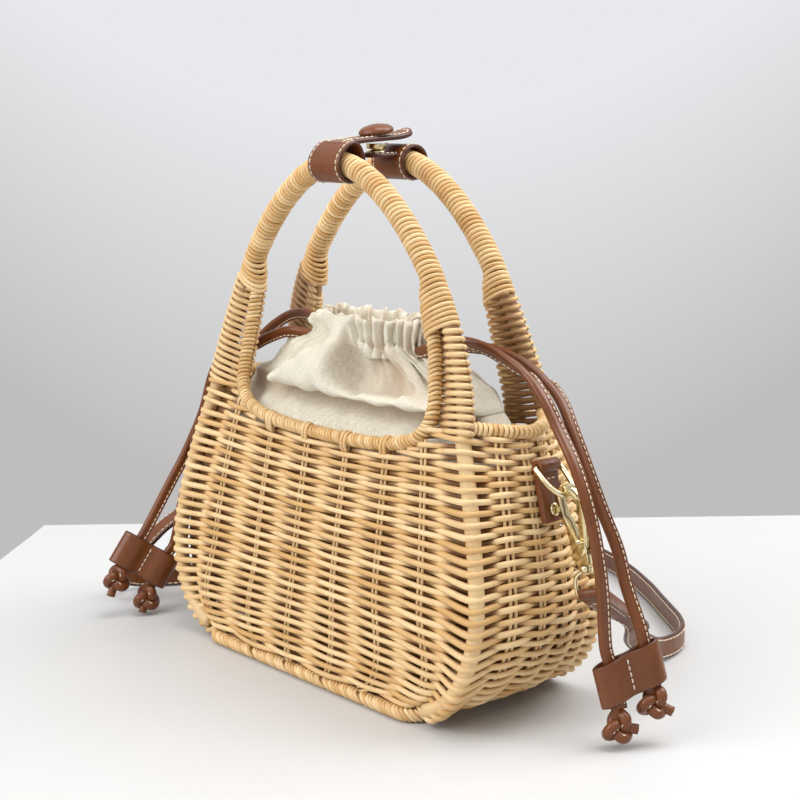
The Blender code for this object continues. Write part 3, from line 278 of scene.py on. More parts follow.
# Three plies twist once in 1.2 mm
twist = add(tree, "ShaderNodeMapping", {"Vector": coords(tree, "UV"), "Rotation": (0, 0, 0.6)}).outputs[0]
plies = add(tree, "ShaderNodeTexWave", {"Vector": twist, "Scale": 0.8, "Distortion": 0.5}).outputs["Fac"]
fill(shader, {"Base Color": mix(tree, plies, "#CDBDA2", "#F0E6D4"), "Roughness": 0.6,
              "Normal": bumped(tree, plies, 0.4, 0.0001)})

gold, tree, shader = finish_named("pale_gold_plated_zinc")
haze = noise(tree, coords(tree, "Object"), 420.0, 3.0)
fill(shader, {"Base Color": mix(tree, haze, "#EADFBC", "#D9C994"), "Metallic": 1.0,
              "Roughness": ranged(tree, haze, low=0.10, high=0.26)})

cotton, tree, shader = finish_named("unbleached_cotton_canvas")
uv = coords(tree, "UV")
# Threads are 0.5 mm apart; here slubs are about as wide, because finer ones don't show at this distance
warp, weft = (noise(tree, stretched(tree, uv, run), 1.0, 2.0) for run in ((2.0, 0.22, 1.0), (0.22, 2.0, 1.0)))
weave = maths(tree, "ADD", warp, weft)
cloth = mix(tree, ranged(tree, weave, 0.7, 1.35), "#CCC5B1", "#ECE6D8")
# Painted shade: the attribute browns the cloth in folds, hollows and below the sill
cloth = mix(tree, maths(tree, "MULTIPLY", mark(tree, "sunk"), 0.9), cloth, "#96601E")
fill(shader, {"Base Color": cloth, "Roughness": 0.92, "Sheen Weight": 0.15,
              "Normal": bumped(tree, weave, 0.4, 0.0003)})
print("finishes", thread.name, gold.name, cotton.name)

# %% [markdown]
# ## One way to make every long thing
# Canes, cords, straps and stitches are all a small outline carried along a path. They could be Blender
# curves with a bevel, but thousands of curve objects are slow, and a curve has no attribute for each cane's
# tone. So one function carries an outline along many paths at once, as whole arrays, and gives back points,
# faces and UVs.

# %% Carrying an outline along paths
def disc(sides):
    """A circle of radius 1, with its points half a step off the axis so that end caps are strips."""
    turn = (np.arange(sides) + 0.5) * 2 * np.pi / sides
    return np.column_stack([np.cos(turn), np.sin(turn)])


def carried(path, out, outline, size=1.0, closed=False, tint=None, rim=None, **marks):
    """Points at path + across * p + outwards * q for each outline point (p, q).

    path is (strands, points, 3). Across is out x along, and outwards is along x across, so the outline
    keeps the side that out points to. U is the length walked along the path and V the length walked
    round the outline.
    """
    path = np.asarray(path, float)
    count, steps = path.shape[:2]
    along = unit(np.roll(path, -1, 1) - np.roll(path, 1, 1) if closed else np.gradient(path, axis=1))
    across = unit(np.cross(np.broadcast_to(out, path.shape), along))
    outwards = np.cross(along, across)
    sides = len(outline)
    spread = outline * np.broadcast_to(size, (count, steps, 2))[:, :, None, :]
    verts = path[:, :, None] + across[:, :, None] * spread[..., :1] + outwards[:, :, None] * spread[..., 1:]
    index = np.arange(count * steps * sides).reshape(count, steps, sides)
    here, there = (index, np.roll(index, -1, 1)) if closed else (index[:, :-1], index[:, 1:])
    quads = np.stack([here, np.roll(here, -1, 2), np.roll(there, -1, 2), there], -1)
    hop = np.linalg.norm(np.roll(path, -1, 1) - path, axis=2)
    walked = np.concatenate([np.zeros((count, 1)), np.cumsum(hop, 1)], 1)
    hops = np.linalg.norm(np.roll(outline, -1, 0) - outline, axis=1) * np.mean(np.abs(size))
    round_ = np.concatenate([[0], np.cumsum(hops)])
    spans = quads.shape[1]
    u0, u1 = walked[:, :spans, None], walked[:, 1:spans + 1, None]
    v0, v1 = round_[None, None, :-1], round_[None, None, 1:]
    corners = ((u0, v0), (u0, v1), (u1, v1), (u1, v0))
    uv = np.stack([np.stack(np.broadcast_arrays(u, v), -1) for u, v in corners], 3)
    quads, uv = quads.reshape(-1, 4), uv.reshape(-1, 4, 2)
    if not closed:
        j = np.arange(sides // 2 - 1)
        cap = np.column_stack([j, j + 1, sides - 2 - j, sides - 1 - j])
        ends = [index[:, -1][:, cap].reshape(-1, 4), index[:, 0][:, cap[:, ::-1]].reshape(-1, 4)]
        quads = np.concatenate([quads, *ends])
        uv = np.concatenate([uv, np.broadcast_to(outline[cap], (2 * count, *cap.shape, 2)).reshape(-1, 4, 2)])
    tone = chance.uniform(0, 1, count) if tint is None else np.broadcast_to(tint, count)
    whole = lambda value: np.repeat(np.broadcast_to(value, (count, steps)).reshape(-1), sides)
    marks = {name: whole(value) for name, value in marks.items()}
    marks["tint"] = np.repeat(tone, steps * sides)
    if rim is not None:
        marks["cut"] = np.tile(rim, count * steps).astype(float)
    kind = np.zeros(len(quads), np.int32)
    return {"verts": verts.reshape(-1, 3), "quads": quads, "uv": uv, "marks": marks, "kind": kind}


def joined(*shapes):
    """Several shapes as one, with the later ones' corner numbers moved up."""
    starts = np.cumsum([0] + [len(s["verts"]) for s in shapes[:-1]])
    names = sorted({name for s in shapes for name in s["marks"]})
    whole = {key: np.concatenate([s[key] for s in shapes]) for key in ("verts", "uv", "kind")}
    whole["quads"] = np.concatenate([s["quads"] + n for s, n in zip(shapes, starts)])
    whole["marks"] = {name: np.concatenate([s["marks"].get(name, np.zeros(len(s["verts"]))) for s in shapes])
                      for name in names}
    return whole


print("a disc of 8:", disc(8).round(2).tolist())

# %% [markdown]
# A second function puts such arrays into a mesh, rides it on its body, and hides the solids it stands for.
# Three short ones name the finishes that come again and again.

# %% Putting arrays into a mesh
def piece(name, shape, finishes, body, nodes):
    """A mesh object at the origin, in metres, that rides on a body and may stand for solid nodes.

    Where several finishes are given, each face's kind says which one it has.
    """
    mesh = bpy.data.meshes.new(name)
    count = len(shape["quads"])
    mesh.vertices.add(len(shape["verts"]))
    mesh.vertices.foreach_set("co", (shape["verts"] * MM).astype(np.float32).ravel())
    mesh.loops.add(4 * count)
    mesh.loops.foreach_set("vertex_index", shape["quads"].astype(np.int32).ravel())
    mesh.polygons.add(count)
    mesh.polygons.foreach_set("loop_start", np.arange(0, 4 * count, 4, dtype=np.int32))
    mesh.polygons.foreach_set("use_smooth", np.ones(count, bool))
    mesh.update(calc_edges=True)
    mesh.uv_layers.new(name="UVMap").data.foreach_set("uv", shape["uv"].astype(np.float32).ravel())
    for mark_name, values in shape["marks"].items():
        mesh.attributes.new(mark_name, "FLOAT", "POINT").data.foreach_set("value", values.astype(np.float32))
    for finish in finishes:
        mesh.materials.append(finish)
    mesh.polygons.foreach_set("material_index", shape["kind"])
    obj = linked(name, mesh)
    if body:
        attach(obj, body)
    if nodes:
        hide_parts(*nodes)
    print(f"{name}: {2 * count} triangles")
    return obj


def caned(name, shape, *nodes):
    return piece(name, shape, [cane], "basket", nodes)


def sewn(name, shape, body, *nodes):
    return piece(name, shape, [leather, thread], body, nodes)


def plated(name, shape, body, *nodes):
    return piece(name, shape, [gold], body, nodes)


print("pieces take", MM, "metres a millimetre")

# %% [markdown]
# ## Smooth routes
# A cord is drawn through a few chosen points. A Catmull-Rom curve passes through each of them with the
# slope of its neighbours' chord, and is then read again at even steps of its length. Stitches are short
# threads along such a line.

# %% Route helpers
def steps_along(points):
    """The length walked from the first point to each point."""
    return np.concatenate([[0], np.cumsum(np.linalg.norm(np.diff(points, axis=0), axis=1))])


def length_of(path):
    return float(np.linalg.norm(np.diff(path, axis=0), axis=1).sum())


def evened(points, spacing):
    """The same line read at even steps of its length."""
    points = np.asarray(points, float)
    walked = steps_along(points)
    want = np.linspace(0, walked[-1], max(2, round(walked[-1] / spacing)) + 1)
    return np.column_stack([np.interp(want, walked, points[:, k]) for k in range(3)])


def splined(points, steps):
    """Catmull-Rom: p1 + t m1 + t2 (3 d - 2 m1 - m2) + t3 (m1 + m2 - 2 d) on each span, d being its chord."""
    p = np.asarray(points, float)
    p = np.concatenate([p[:1], p, p[-1:]])
    a, b, c, d = p[:-3, None], p[1:-2, None], p[2:-1, None], p[3:, None]
    t = (np.arange(steps) / steps)[None, :, None]
    first, last, chord = 0.5 * (c - a), 0.5 * (d - b), c - b
    dense = b + t * first + t * t * (3 * chord - 2 * first - last) + t ** 3 * (first + last - 2 * chord)
    return np.concatenate([dense.reshape(-1, p.shape[1]), p[-1:]])


def through(points, spacing):
    """The smooth line through the points, read at even steps."""
    return evened(splined(points, 16), spacing)


def stitches(line, up, pitch, length, radius=0.36, rise=0.22):
    """Short threads along a line: each runs length, rises out of the leather and dips back at both ends."""
    walked = steps_along(line)
    count = max(1, int((walked[-1] - 0.6) / pitch))
    middle = walked[-1] / 2 + (np.arange(count) - (count - 1) / 2) * pitch
    want = middle[:, None] + np.array([-0.5, -0.36, 0.0, 0.36, 0.5]) * length
    up = np.broadcast_to(up, line.shape)
    place, lift = (np.stack([np.interp(want, walked, v[:, k]) for k in range(3)], -1) for v in (line, up))
    lift = unit(lift)
    path = place + lift * np.array([-0.45, 0.12, rise, 0.12, -0.45])[:, None]
    shape = carried(path, lift, disc(6) * radius)
    shape["kind"][:] = 1
    return shape


print("routes ready")

# %% [markdown]
# ## The basket's form
# The real basket is woven without a mould, round 20 pairs of upright stakes that stand in the base and four
# thick posts at the corners. Its faces swell from a small foot to a belly low down, and draw in again at
# the rim. The posts run on as hoops that make the handles. The solid model uses these same formulas, so the
# cane lies on its walls.

# %% Form of the basket
RIM, BELLY, FOOT = 136.0, 57.0, 6.9
HALF_WALL = 3.0
POST_INSET = 4.5
ARCH_HALF, ARCH_RISE, ARCH_UP, ARCH_SIDE = 97, 126, 1.45, 1.8
SIDES = {"front": -1, "back": 1}
HANDS = {"right": 1, "left": -1}


def eased(share):
    """Smoothstep: 3 s2 - 2 s3 of the share held between 0 and 1."""
    s = np.clip(share, 0, 1)
    return s * s * (3 - 2 * s)


def swell(z, foot, belly, rim):
    """Half width: a quarter ellipse from foot to belly, then a power of 1.45 from belly to rim."""
    drop = (BELLY - np.clip(z, FOOT, BELLY)) / (BELLY - FOOT)
    climb = np.clip(z - BELLY, 0, RIM - BELLY) / (RIM - BELLY)
    return 0.5 * (foot + (belly - foot) * np.sqrt(1 - drop ** 2) + (rim - belly) * climb ** 1.45)


def post_x(z):
    return swell(z, 168.0, 244.0, 203.0)


def end_x(z):
    return swell(z, 171.0, 263.0, 232.0)


def panel_y(x, z):
    """Depth of a face: leans in by the power 1.5 to the rim, then on to the handle; bowed by x squared."""
    climb, rise = np.clip((z - FOOT) / (RIM - FOOT), 0, 1), np.clip((z - RIM) / 69, 0, 1)
    depth = np.where(z <= RIM, 51.5 - 18 * climb ** 1.5, 24 + 9.5 * (1 - rise) ** 2)
    bow = 5 * (1 - 0.6 * climb) * (1 - rise)
    return depth - bow * np.minimum(np.abs(x) / post_x(z), 1) ** 2


def hoop_x(z):
    """A post stands a little inside the corner; above the rim it is an arch of powers 1.45 and 1.8."""
    arch = ARCH_HALF * (1 - np.clip((z - RIM) / ARCH_RISE, 0, 1) ** ARCH_UP) ** (1 / ARCH_SIDE)
    return np.where(z > RIM, arch, post_x(z) - POST_INSET)


def on_face(x, z, side):
    """The middle of the wall's thickness at (x, z), on the front (-1) or the back (1)."""
    return np.stack(np.broadcast_arrays(x, side * (panel_y(x, z) - HALF_WALL), z), -1)


def beside_hoop(z, reach):
    """The point that far inwards from the hoop, square to it."""
    rise = unit(np.stack(np.broadcast_arrays(hoop_x(z + 0.5) - hoop_x(z - 0.5), 1.0), -1))
    return hoop_x(z) - rise[..., 1] * reach, z + rise[..., 0] * reach


print("belly", 2 * float(end_x(BELLY)), "mm wide")

# %% [markdown]
# Each hoop is one line from foot to foot. The rod round the window leaves it at the top of the ear, turns a
# low corner and sags along the sill. The rod's points are the solid model's.

# %% Lines of the hoops and the window rods
def hoop_line(side):
    """Foot to foot over the handle: arch x = 97 sin(t)^(2/1.8), z = 136 + 126 cos(t)^(2/1.45)."""
    t = np.linspace(0, np.pi / 2, 160)
    x = ARCH_HALF * np.sin(t) ** (2 / ARCH_SIDE)
    z = RIM + ARCH_RISE * np.maximum(np.cos(t), 0) ** (2 / ARCH_UP)
    low = np.linspace(RIM, 8.0, 80)[1:]
    half = on_face(np.concatenate([x, hoop_x(low)]), np.concatenate([z, low]), side)
    return evened(np.concatenate([half[::-1], half[1:] * (-1, 1, 1)]), 2.4)[::-1]


def rod_line(side):
    """The window's rod: up beside a hoop, away from it round a low corner, along a sagging sill, and back."""
    ear = beside_hoop(150.95, 8.8)[0] - 74.5
    high = [beside_hoop(204.0, 7.5), (beside_hoop(178.84, 8.8)[0] - 0.57 * ear, 178.84),
            (beside_hoop(160.83, 8.8)[0] - 0.86 * ear, 160.83)]
    low = [(74.5, 150.95), (72.9, 141.9), (67, 134.97), (57, 130.95), (38.5, 128), (0, 126.8)]
    half = np.array(high + low, float)
    both = np.concatenate([half * (-1, 1), half[-2::-1]])
    flat = through(np.column_stack([both[:, 0], np.zeros(len(both)), both[:, 1]]), 1.1)
    return on_face(flat[:, 0], flat[:, 2], side)


def rod_x(z):
    """How far out the rod stands at a height above its sill."""
    line = rod_line(-1)
    line = line[line[:, 0] >= 0]
    return np.interp(z, line[:, 2], line[:, 0])


print("hoop", hoop_line(-1)[::60].round(1).tolist())

# %% [markdown]
# ## Stakes and rows
# Stakes keep even shares of a face and crowd towards the posts at the foot. Each row takes an even share of
# the climb, so rows dip towards the posts low down and rise towards them higher up. A grid of rows by
# stakes holds the points where a weaver crosses a stake; half of the grid is made and the other half is
# that one turned round.

# %% Grid of rows and stakes
FRONT = np.array((-0.70, -0.375, -0.10, 0.165, 0.43, 0.69))
AT_FOOT = np.array((-0.86, -0.47, -0.14, 0.21, 0.53, 0.84))
ENDS = np.array((-0.6, -0.19, 0.2, 0.6))
POSTS = [0, 7, 12, 19]
ROWS, STAKES = 50, 24
FIRST_ROW, LAST_ROW = 8, 129


def post_rise(t):
    """Height on a post at an even share of its length; share 0 is at 8 mm and share 1 at 129 mm."""
    z = np.linspace(2, 146, 700)
    walked = np.concatenate([[0], np.cumsum(np.hypot(np.diff(hoop_x(z)), np.diff(z)))])
    start, stop = np.interp((FIRST_ROW, LAST_ROW), z, walked)
    return np.interp(start + t * (stop - start), walked, z)


def grid(t):
    """Crossings (rows, 24, 3), anticlockwise from the left front post; z nears the post's height by f^1.7."""
    t = np.asarray(t, float)[:, None]
    z_post, z_mid, f = post_rise(t), FIRST_ROW + 115 * t, FRONT[None]
    for _ in range(4):
        z = z_mid + (z_post - z_mid) * np.abs(f) ** 1.7
        f = AT_FOOT + (FRONT - AT_FOOT) * eased((z - FIRST_ROW) / 52)
    x = f * (hoop_x(z) + (1 - np.abs(f)) * np.where(z > BELLY, np.maximum(0, 117.5 - hoop_x(z)), 0))
    face = on_face(x, z, -1)
    posts = on_face(hoop_x(z_post) * (-1, 1), z_post * (1, 1), -1)
    reach = panel_y(post_x(z_post), z_post) - HALF_WALL
    z = z_post - 3.5 * (1 - ENDS ** 2) * t + 2.6 * np.sqrt(np.sin(np.pi * np.clip(t, 0, 1)))
    x = end_x(z) - HALF_WALL - (end_x(z) - post_x(z)) * ENDS ** 2
    half = np.concatenate([posts[:, :1], face, posts[:, 1:], np.stack([x, ENDS * reach, z], -1)], 1)
    return np.concatenate([half, half * (-1, -1, 1)], 1)


def outward(t):
    """Unit normals of the grid: the step along a row crossed with the step up a stake."""
    here, climb = grid(t), grid(np.add(t, 0.01)) - grid(np.add(t, -0.01))
    return unit(np.cross(np.roll(here, -1, 1) - np.roll(here, 1, 1), climb))


print("grid", grid(np.array([0.5]))[0, ::7].round(1).tolist())

# %% [markdown]
# ## Weaving
# Plain randing: one round cane goes in front of a stake and behind the next, and the next row does the
# opposite. An image of a weave could fake this, but only real canes give the right shadows and the right
# outline. Each row is a path that eases from one side of a stake to the other side of the next.

# %% Weave the walls
CANE = disc(8) * (1.3, 1.16)
FINE = 12


def woven(points, normals, sway, closed=True):
    """Paths through the crossings, pushed out by sway; straight between stakes, the push cosine-eased."""
    after = (lambda a: np.roll(a, -1, 1)) if closed else (lambda a: a[:, 1:])
    before = (lambda a: a) if closed else (lambda a: a[:, :-1])
    s = (np.arange(FINE) / FINE)[:, None]
    c = 0.5 - 0.5 * np.cos(np.pi * s)
    push = normals * sway[..., None]
    mixed = lambda a, w: before(a)[:, :, None] * (1 - w) + after(a)[:, :, None] * w
    path = (mixed(points, s) + mixed(push, c)).reshape(len(points), -1, 3)
    out = unit(mixed(normals, s)).reshape(len(points), -1, 3)
    deep = mixed(sway[..., None], c).reshape(len(points), -1)
    if closed:
        path = sum(np.roll(path, k, 1) * w for k, w in zip((-2, -1, 0, 1, 2), (1, 2, 3, 2, 1))) / 9
    # The third array is painted shade: up to 1 where the cane passes behind a stake
    return path, out, np.clip((-0.5 - deep) / 1.4, 0, 1)


def sway_of(points, parity):
    """Plus and minus by turns; more at the thick posts, and less where stakes stand close together."""
    near = np.linalg.norm(np.roll(points, -1, 1) - points, axis=2)
    near = np.minimum(near, np.roll(near, 1, 1))
    size = 2.1 * np.clip(near / 9, 0.4, 1)
    size[:, POSTS] = 4.5
    return size * np.where((np.arange(points.shape[1]) + parity[:, None]) % 2, -1, 1)


rows = np.arange(ROWS)
share = (rows + 0.3) / ROWS
crossings = grid(share) + chance.normal(0, 0.2, (ROWS, STAKES, 1)) * (0, 0, 1)
# The rows are beaten down at the posts, so they turn the corners in a shallow V
crossings[:, POSTS, 2] -= 1.3
paths, outs, weave_shade = woven(crossings, outward(share), sway_of(crossings, rows))
# Canes look stouter at the posts and ends, where the rows have more room
HALF_STOUT = [1.34, 1.1, 1.04, 1.04, 1.04, 1.04, 1.1, 1.34, 1.14, 1.1, 1.1, 1.14]
stout = np.interp(np.arange(STAKES * FINE) / FINE, np.arange(STAKES + 1), HALF_STOUT * 2 + HALF_STOUT[:1])
sizes = chance.uniform(0.94, 1.06, (ROWS, 1, 1)) * stout[:, None]
BANDS = {"lower_weave": (slice(0, 17), "left_end_wall", "right_end_wall"),
         "belly_weave": (slice(17, 34), "front_panel"),
         "upper_weave": (slice(34, 50), "back_panel")}
# The rows' painted shade darkens them where they pass behind the stakes
for name, (few, *nodes) in BANDS.items():
    caned(name, carried(paths[few], outs[few], CANE, sizes[few], closed=True, sunk=weave_shade[few]), *nodes)

# %% [markdown]
# Above the sill a row can't go right round. It starts at one window's rod, goes round the end and stops at
# the other's.

# %% Weave the short rows beside the windows
shapes = []
for k in range(ROWS, ROWS + 5):
    t = np.array([(k + 0.5) / ROWS])
    whole, normal = grid(t)[0], outward(t)[0]
    sway = sway_of(whole[None], np.array([k]))[0]
    edge = float(rod_x(min(whole[7, 2], 139)))
    start = min([i for i in range(4, 7) if whole[i, 0] > edge + 4] + [7])
    span = np.arange(start, 12 + (8 - start))
    z_rod = whole[span[0], 2] - 0.6
    points = np.stack([on_face(edge, z_rod, -1), *whole[span], on_face(edge, z_rod, 1)])
    normals = np.concatenate([[(0, -1, 0)], normal[span], [(0, 1, 0)]])
    pushes = np.concatenate([[-0.4 * sway[span[0]]], sway[span], [-0.4 * sway[span[-1]]]])
    for turn in (1, -1):
        flip = np.array((turn, turn, 1))
        path, out, deep = woven((points * flip)[None], (normals * flip)[None], pushes[None], closed=False)
        # Painted shade where the cane passes behind a stake
        shapes.append(carried(path, out, CANE, sunk=deep))
caned("short_rows", joined(*shapes))

# %% [markdown]
# ## Stakes, posts and floor
# Stakes are thin canes set in pairs, seen as two light lines between the weavers. Posts and hoops are one
# thick cane each. The floor is the same plain weave laid flat; it is seen only from below.

# %% Stakes
TOPS = np.array([1.0] + [1.07, 1.03, 1.02, 1.02, 1.03, 1.07] + [1.0] + [1.09] * 4)
climbs = np.linspace(-0.015, np.tile(TOPS, 2), 44)
columns = [k for k in range(STAKES) if k not in POSTS]
lines = np.stack([grid(climbs[:, k])[:, k] for k in columns])
faces = np.stack([outward(climbs[:, k])[:, k] for k in columns])
aside = unit(np.cross(np.gradient(lines, axis=1), faces)) * chance.uniform(0.95, 1.45, (len(columns), 1, 1))
pairs = np.concatenate([lines + aside, lines - aside])
caned("stakes", carried(pairs, np.concatenate([faces, faces]), disc(8) * 0.85, tint=0.05))

# %% [markdown]
# The hoops are darkened a little by painted shade in the corners of the walls, and much more above the
# rim, where only slits between the windings show them.

# %% Posts with handle hoops, and the floor
HOOP_RADIUS = 3.8
for name, side in SIDES.items():
    line = hoop_line(side)
    # Painted shade: a little on the posts, and deep under the windings above the rim
    dark = 0.22 + 0.68 * eased((line[:, 2] - RIM - 2) / 6)
    shape = carried(line[None], (0, side, 0), disc(12) * HOOP_RADIUS, tint=0.15, sunk=dark[None])
    caned(name + "_hoop_cane", shape, name + "_hoop")
RIB_PITCH, LANE_PITCH, FLOOR_HEIGHT = 18.0, 2.6, 3.0
across = np.linspace(-81, 81, 82)
lanes = np.arange(-46.5, 47, LANE_PITCH)
wave = np.where(np.arange(len(lanes)) % 2, -1.1, 1.1)[:, None] * np.cos(np.pi * across / RIB_PITCH)
floor_path = np.stack(np.broadcast_arrays(across, lanes[:, None], FLOOR_HEIGHT + wave), -1)
rib_x = np.arange(-72, 73, RIB_PITCH)[:, None]
ribs = np.stack(np.broadcast_arrays(rib_x, np.linspace(-47, 47, 24), FLOOR_HEIGHT), -1)
# The floor's weavers are a little darkened by painted shade
floor = [carried(floor_path, (0, 0, 1), disc(8) * 1.2, sunk=0.25), carried(ribs, (0, 0, 1), disc(8) * 1.3)]
caned("floor_weave", joined(*floor), "base_panel")

# %% [markdown]
# ## Winding
# Borders, rims, window rods and handles are wound with thin cane, turn against turn. A spiral could do it,
# but rings set square to the path and leant a little look the same, and each can have its own tone and its
# own lean.

# %% Rings round a line
def rings(centre, along, toward, wide, deep, lean, strand, steps=16, sides=6):
    """Loops centre + wide cos(t) e1 + deep sin(t) e2, leant along the line by lean sin(t + a small phase)."""
    t = np.arange(steps) * 2 * np.pi / steps
    along = unit(along)
    e1 = unit(toward - along * (toward * along).sum(-1, keepdims=True))
    e2 = np.cross(along, e1)
    column = lambda v: np.broadcast_to(v, len(centre))[:, None, None]
    radial = column(wide) * np.cos(t)[:, None] * e1[:, None] + column(deep) * np.sin(t)[:, None] * e2[:, None]
    phase = chance.normal(0, 0.12, (len(centre), 1)) + t
    path = centre[:, None] + radial + along[:, None] * (column(lean)[..., 0] * np.sin(phase))[..., None]
    size = chance.uniform(0.94, 1.06, (len(centre), 1, 1)) * strand
    return carried(path, radial, disc(sides), size, closed=True)


print("one ring has 16 by 6 corners")

# %% [markdown]
# The rod round each window is wound along its sill and part of the way up the ears. Pairs of rings lash the
# sill to the rows below it wherever a pair of stakes ends.

# %% Window rods with their wound sills
LOW_SPLIT, HIGH_SPLIT = 187.0, 199.0
for name, side in SIDES.items():
    line = rod_line(side)
    sill = evened(line[line[:, 2] < np.where(line[:, 0] * -side > 0, LOW_SPLIT, HIGH_SPLIT)], 2.2)
    wound = rings(sill, np.gradient(sill, axis=0), np.array((0.0, side, 0.0)),
                  wide=2.6, deep=2.6, lean=1.3, strand=0.96)
    # The rod's core shows only between the windings, so its colour is darkened by painted shade
    core = carried(line[None], (0, side, 0), disc(10) * 2.3, tint=0.3, sunk=0.75)
    feet = grid(np.ones(1))[0, 1:7] * (-side, -side, 1)
    feet = feet[np.abs(feet[:, 0]) < 70]
    x = np.concatenate([feet[:, 0] - 1.2, feet[:, 0] + 1.2])
    spots = on_face(x, np.interp(x, line[:, 0], line[:, 2]) - 1.6, side)
    lash = rings(spots, np.tile((1.0, 0, 0), (len(spots), 1)), np.array((0.0, 0, 1.0)),
                 wide=5.0, deep=3.5, lean=0.5, strand=1.05)
    caned(name + "_window_winding", joined(core, wound, lash), name + "_window_rod")

# %% [markdown]
# An ear is the slim gap between a hoop and the window's rod. One long cane fills it: each turn goes round
# the hoop, and its other end is tucked behind the rod.

# %% Ears
EAR_FOOT, EAR_PITCH, EAR_FINE = 138.0, 3.5, 28
SPLITS = {(-1, 1): LOW_SPLIT, (-1, -1): HIGH_SPLIT, (1, 1): HIGH_SPLIT, (1, -1): HIGH_SPLIT}


def ear(side, hand):
    """One cane: across = half cos(t), round the hoop, tucked behind the rod, lower there by tilt cos(t)."""
    tilt = 3.4 - 1.4 * hand
    turns = (SPLITS[side, hand] - EAR_FOOT) / EAR_PITCH
    t = np.linspace(0, turns * 2 * np.pi, int(turns * EAR_FINE))
    z = EAR_FOOT + t / (2 * np.pi) * EAR_PITCH
    hoop, rod = on_face(hoop_x(z), z, side), on_face(rod_x(z), z, side)
    way, middle = unit(rod - hoop), 0.5 * (hoop + rod)
    half = 0.5 * np.linalg.norm(rod - hoop, axis=1)
    out = unit(np.cross(way, np.gradient(middle, axis=0)))
    out = out * np.sign(side * out[:, 1:2])
    tuck = eased(0.8 * (1 + np.cos(t)) - 0.3)
    depth = -3.6 * tuck - 4.6 * (1 - tuck) * np.sin(t)
    path = middle + way * (-1.8 + (half + 2.9) * np.cos(t))[:, None] + out * depth[:, None]
    path = path - np.array((0, 0, 1.0)) * (tilt * np.cos(t))[:, None]
    # Painted shade on the part of each turn that passes behind
    deep = np.clip(1.3 * np.sin(t), 0, 1)
    mirror = (hand, 1, 1)
    return carried((path * mirror)[None], (out * mirror)[None], disc(8) * (1.3, 1.12), sunk=deep[None])


for name, side in SIDES.items():
    caned(name + "_ears", joined(ear(side, -1), ear(side, 1)))

# %% [markdown]
# Above the ears the winding goes round the hoop and the rod's tip together, and then round the hoop alone.

# %% Handles
ROD_TOP, ARCH_TURN = 204, 240.0
for name, side in SIDES.items():
    line = evened(hoop_line(side), 2.36)
    along = np.gradient(line, axis=0)
    z, hand = line[:, 2], np.where(line[:, 0] < 0, -1, 1)
    low = np.minimum(z, ARCH_TURN)
    x_in, z_in = beside_hoop(low, 1.0)
    toward = np.stack([(x_in - hoop_x(low)) * hand, np.zeros(len(z)), z_in - low], -1)
    beside = np.abs(hoop_x(z) - rod_x(np.minimum(z, ROD_TOP - 0.1)))
    gap = np.where(z < ROD_TOP, beside, 7.5) * eased((213 - z) / 11)
    keep = z > np.where(hand < 0, SPLITS[side, -1], SPLITS[side, 1])
    centre = line + toward * gap[:, None] / 2
    shape = rings(centre[keep], along[keep], toward[keep], wide=(4.9 + gap / 2)[keep], deep=4.9, lean=0.9,
                  strand=1.07, steps=20, sides=8)
    caned(name + "_handle_winding", shape, name + "_handle_wrap")

# %% [markdown]
# The ends are finished by a wound roll from hoop to hoop, which dips a little in the middle.

# %% End rims
RIM_ROLL = 7.4
for hand in ("left", "right"):
    s = np.linspace(-1, 1, 120)
    hoop = on_face(hoop_x(RIM + RIM_ROLL), np.array(RIM + RIM_ROLL), 1)
    top = RIM + RIM_ROLL - 3 * (1 - np.abs(s))
    x = end_x(top) - HALF_WALL - (end_x(top) - hoop[0] - 3.5) * s * s
    line = evened(np.stack([x * HANDS[hand], s * (hoop[1] - 2.0), top], -1), 2.3)
    # The core shows only between the turns, so its colour is darkened by painted shade
    core = carried(line[None], (0, 0, 1), disc(8) * 1.8, sunk=0.8)
    wound = rings(line, np.gradient(line, axis=0), np.array((0.0, 0, 1.0)),
                  wide=2.3, deep=2.3, lean=1.2, strand=1.1)
    caned(hand + "_end_rim_winding", joined(core, wound), hand + "_end_rim")

# %% [markdown]
# ## Border at the foot
# The stakes are bent over at the base and plaited into a rolled border, which shows as slanting turns in
# groups with a small nick where each stake goes in.

# %% Foot border
BORDER_BEND, BORDER_X, BORDER_Y, BORDER_HEIGHT = 10.7, 82.7, 48.2, 3.55
turn = np.linspace(0, np.pi / 2, 12)
bend = np.column_stack([BORDER_BEND * np.cos(turn), BORDER_BEND * np.sin(turn)])
quarter = bend + (BORDER_X - BORDER_BEND, BORDER_Y - BORDER_BEND)
rest = [(quarter * (-1, 1))[::-1], quarter * (-1, -1), (quarter * (1, -1))[::-1], quarter[:1]]
loop = np.concatenate([quarter, *rest])
line = evened(np.column_stack([loop, np.full(len(loop), BORDER_HEIGHT)]), 2.35)[:-1]
along = np.roll(line, -1, 0) - np.roll(line, 1, 0)
feet = grid(np.zeros(1))[0]
kept = np.linalg.norm(line[:, None, :2] - feet[None, :, :2], axis=2).min(1) >= 1.5
outer = np.cross(unit(along), (0, 0, 1.0))
# The core shows only between the turns, so its colour is darkened by painted shade
core = carried(line[None], (0, 0, 1), disc(8) * 1.7, closed=True, tint=0.6, sunk=0.7)
wound = rings(line[kept], along[kept], outer[kept], wide=2.3, deep=2.3, lean=2.6, strand=1.15)
caned("foot_border_winding", joined(core, wound), "base_border")

# %% [markdown]
# ## Drawstrings
# Each drawstring is a strip of leather folded round a thin core and sewn beside it, so it is a round cord
# with a flat stitched flange. Two leave each end of the neck, cross the rim and hang through a sliding band
# to a knot. The routes repeat the solid model's points. A curve object with a round bevel would lose the
# flange, so the outline is carried.

